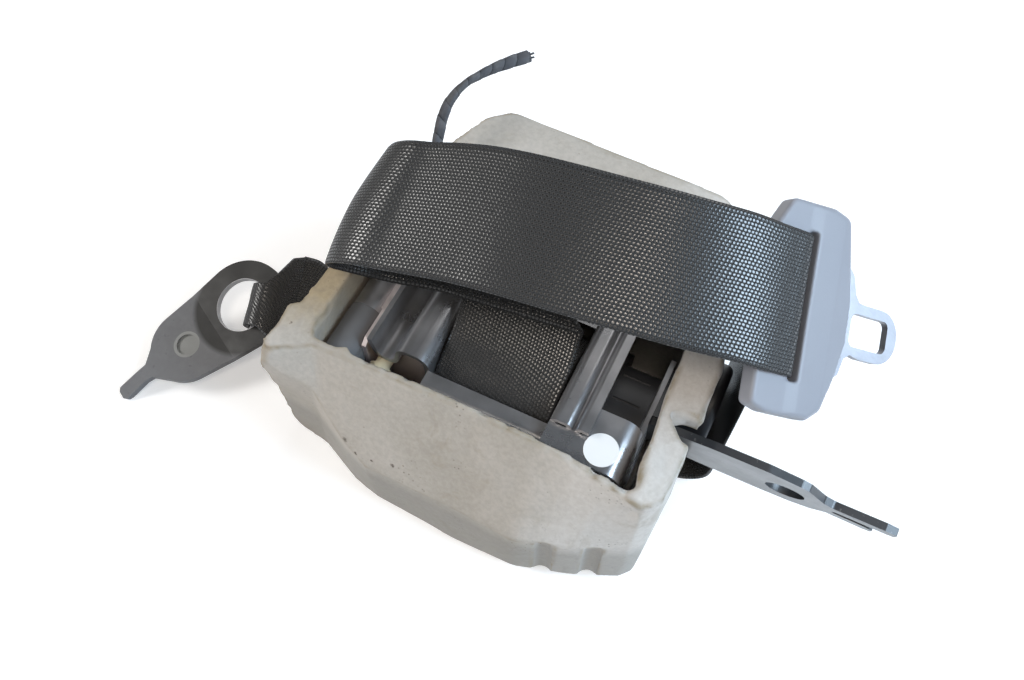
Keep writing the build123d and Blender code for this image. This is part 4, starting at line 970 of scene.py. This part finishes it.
def lead_line():
    """Even points along the lead, and the distance to each."""
    data = bpy.data.curves.new("lead_line", "CURVE")
    data.dimensions = "3D"
    data.resolution_u = 16
    spline = data.splines.new("NURBS")
    spline.points.add(len(LEAD) - 1)
    for point, spot in zip(spline.points, place(LEAD)):
        point.co = (*spot, 1.0)
    spline.order_u = 3
    spline.use_endpoint_u = True
    obj = linked("lead_line", data)
    bpy.context.view_layer.update()
    mesh = bpy.data.meshes.new_from_object(obj)
    line = np.array([v.co[:] for v in mesh.vertices])
    bpy.data.objects.remove(obj)
    along = length_along(line)
    even = np.linspace(0, along[-1], int(along[-1] / LEAD_STEP))
    return np.stack([np.interp(even, along, line[:, k]) for k in range(3)], axis=1), even


def lead_directions(line):
    """At each point: the way along the lead, and two ways across it that follow without a spin."""
    tangent = np.gradient(line, axis=0)
    tangent /= np.linalg.norm(tangent, axis=1, keepdims=True)
    side = unit(np.cross(tangent[0], (0, 0, 1)))
    sides = []
    for ahead in tangent:
        side = unit(side - ahead * side.dot(ahead))
        sides.append(side)
    return tangent, np.array(sides), np.cross(tangent, sides)


def ring_point(centre, side, other, turn, radius):
    return centre + (side * math.cos(turn) + other * math.sin(turn)) * radius


def lead_radius(distance, rim_share, turn, share):
    """Flat and twisting, with the tape's laps and creases, and flared at the cut end."""
    flare = 1.0 + 0.22 * max(0.0, (share - 0.80) / 0.20)
    wrap = (distance / WRAP_PITCH + rim_share) % 1.0
    flat = 0.21 * math.cos(2 * (turn + distance / TWIST_PITCH))
    crease = 0.05 * math.cos(5 * turn + distance / CREASE_PITCH)
    return LEAD_RADIUS * flare * (0.95 + 0.10 * wrap + flat + crease)


def lead_band(line, even, tangent, sides, others):
    points, uvs, faces = [], [], []
    last = len(line) - 1
    across = LEAD_RIM + 1
    for i in range(last + 1):
        for j in range(across):
            turn = 2 * math.pi * j / LEAD_RIM
            radius = lead_radius(even[i] * 1000, j / LEAD_RIM, turn, i / last)
            points.append(ring_point(line[i], sides[i], others[i], turn, radius))
            uvs.append((j / LEAD_RIM, even[i] * 1000 / 100.0))
    for i in range(last):
        for j in range(LEAD_RIM):
            a, b = i * across + j, (i + 1) * across + j
            faces.append((a, a + 1, b + 1, b))
    for i in (0, last):
        points.append(line[i] - tangent[i] * (LEAD_HOLLOW if i else 0.0))
        uvs.append((0.5, even[i] * 10))
        centre = len(points) - 1
        for j in range(LEAD_RIM):
            a = i * across + j
            faces.append((centre, a + 1, a) if i == 0 else (centre, a, a + 1))
    return points, uvs, faces


def add_wire(points, uvs, faces, end, turn, out):
    """One wire of the cut end; end is the lead's last point, its directions and its distance."""
    spot, ahead, side, other, distance = end
    away = side * math.cos(turn) + other * math.sin(turn)
    first = len(points)
    for k in range(WIRE_STEPS + 1):
        reach = (-WIRE_ROOT + (out + WIRE_ROOT) * k / WIRE_STEPS) / 1000
        centre = spot + away * (0.00085 + 0.0001 * k) + ahead * reach
        for j in range(WIRE_RIM):
            points.append(ring_point(centre, side, other, 2 * math.pi * j / WIRE_RIM, WIRE_RADIUS))
            uvs.append((j / WIRE_RIM, distance * 10 + k * 0.01))
    for k in range(WIRE_STEPS):
        for j in range(WIRE_RIM):
            a, b = first + k * WIRE_RIM + j, first + k * WIRE_RIM + (j + 1) % WIRE_RIM
            faces.append((a, b, b + WIRE_RIM, a + WIRE_RIM))
    tip = first + WIRE_STEPS * WIRE_RIM
    faces.append(tuple(range(tip, tip + WIRE_RIM)))
    faces.append(tuple(range(first + WIRE_RIM - 1, first - 1, -1)))


def lead():
    line, even = lead_line()
    tangent, sides, others = lead_directions(line)
    points, uvs, faces = lead_band(line, even, tangent, sides, others)
    end = (line[-1], tangent[-1], sides[-1], others[-1], even[-1])
    for turn, out in WIRES:
        add_wire(points, uvs, faces, end, turn, out)
    return mesh_object("lead", points, faces, uvs), line, even[-1]


cable, cable_line, cable_length = lead()
dress(cable, MATERIALS["tape"])
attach(cable, "cover")
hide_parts("taped_lead")


# Floor, world, lamps and camera, in metres but for the camera's place

FLOOR_HALF = 3
FLOOR_Z = -0.0525
FLOOR_GLOW = 0.34
WORLD_BELOW = (0.52, 0.53, 0.55, 1.0)
WORLD_ABOVE = (0.035, 0.035, 0.037, 1.0)
LAMP_AIM = (-0.12, 0.0, 0.0)

# Name, place, size, power and colour
LAMPS = (("left", (-1.02, -0.34, 0.66), 0.36, 6.6, (1.0, 0.98, 0.95)),
         ("right", (0.84, 0.12, 0.76), 0.64, 17.5, (0.64, 0.82, 1.0)),
         ("warm", (0.07, -0.46, 1.12), 0.26, 3.6, (1.0, 0.90, 0.80)),
         ("front", (-0.10, -1.10, 0.45), 0.9, 1.6, (1.0, 1.0, 1.0)),
         ("back", (0.05, 0.85, 0.75), 0.8, 3.4, (1.0, 1.0, 1.0)))

# The photograph's camera: turned to the right, looking down, and its focal length in pixels
CAMERA_TURN = 26
CAMERA_DOWN = 61
CAMERA_AT = (66.5, -143.6, 322.9)
FOCAL_PIXELS = 900
PICTURE_WIDE = 1024
SENSOR = 36


def lay_floor():
    """A pale floor that glows a little where the camera or a glossy surface sees it."""
    corners = [(x * FLOOR_HALF, y * FLOOR_HALF, FLOOR_Z) for x, y in ((-1, -1), (1, -1), (1, 1), (-1, 1))]
    floor = mesh_object("floor", corners, [(0, 1, 2, 3)], smooth=False)
    look = Shader("floor")
    look.set(Base_Color=look.ramp(look.noise(3.0), (0.3, 0.80), (0.7, 0.84)), Roughness=0.6)
    path = look.add("LightPath")
    seen = look.math("MAXIMUM", path.outputs["Is Camera Ray"], path.outputs["Is Glossy Ray"])
    look.set(Emission_Color=(1.0, 1.0, 1.0), Emission_Strength=look.times(seen, FLOOR_GLOW))
    dress(floor, look.material)


def light_world():
    """Pale from the horizon down, fading to dark above, so that glossy tops stay dark."""
    world = bpy.data.worlds.new("world")
    bpy.context.scene.world = world
    world.use_nodes = True
    nodes, links = world.node_tree.nodes, world.node_tree.links
    coords = nodes.new("ShaderNodeTexCoord")
    parts = nodes.new("ShaderNodeSeparateXYZ")
    ramp = nodes.new("ShaderNodeValToRGB")
    links.new(coords.outputs["Generated"], parts.inputs[0])
    links.new(parts.outputs[2], ramp.inputs[0])
    below, above = ramp.color_ramp.elements
    below.color = WORLD_BELOW
    above.color = WORLD_ABOVE
    above.position = 0.65
    links.new(ramp.outputs[0], nodes["Background"].inputs[0])


def hang_lamps():
    for name, spot, size, power, colour in LAMPS:
        data = bpy.data.lights.new(name, "AREA")
        data.size = size
        data.energy = power
        data.color = colour
        lamp = linked(name, data)
        lamp.location = spot
        lamp.rotation_mode = "QUATERNION"
        lamp.rotation_quaternion = (Vector(LAMP_AIM) - Vector(spot)).to_track_quat("-Z", "Y")


def set_camera():
    turn, down = math.radians(CAMERA_TURN), math.radians(CAMERA_DOWN)
    level = math.cos(down)
    back = Vector((math.sin(turn) * level, -math.cos(turn) * level, math.sin(down)))
    right = Vector((math.cos(turn), math.sin(turn), 0))
    up = back.cross(right)
    data = bpy.data.cameras.new("camera")
    data.sensor_width = SENSOR
    data.lens = SENSOR * FOCAL_PIXELS / PICTURE_WIDE
    data.clip_start = 0.01
    obj = linked("camera", data)
    pose = Matrix((right, up, back)).transposed().to_4x4()
    obj.matrix_world = Matrix.Translation(Vector(place(CAMERA_AT))) @ pose
    bpy.context.scene.camera = obj


lay_floor()
light_world()
hang_lamps()
set_camera()
bpy.context.scene.view_settings.view_transform = "Standard"
bpy.context.view_layer.update()
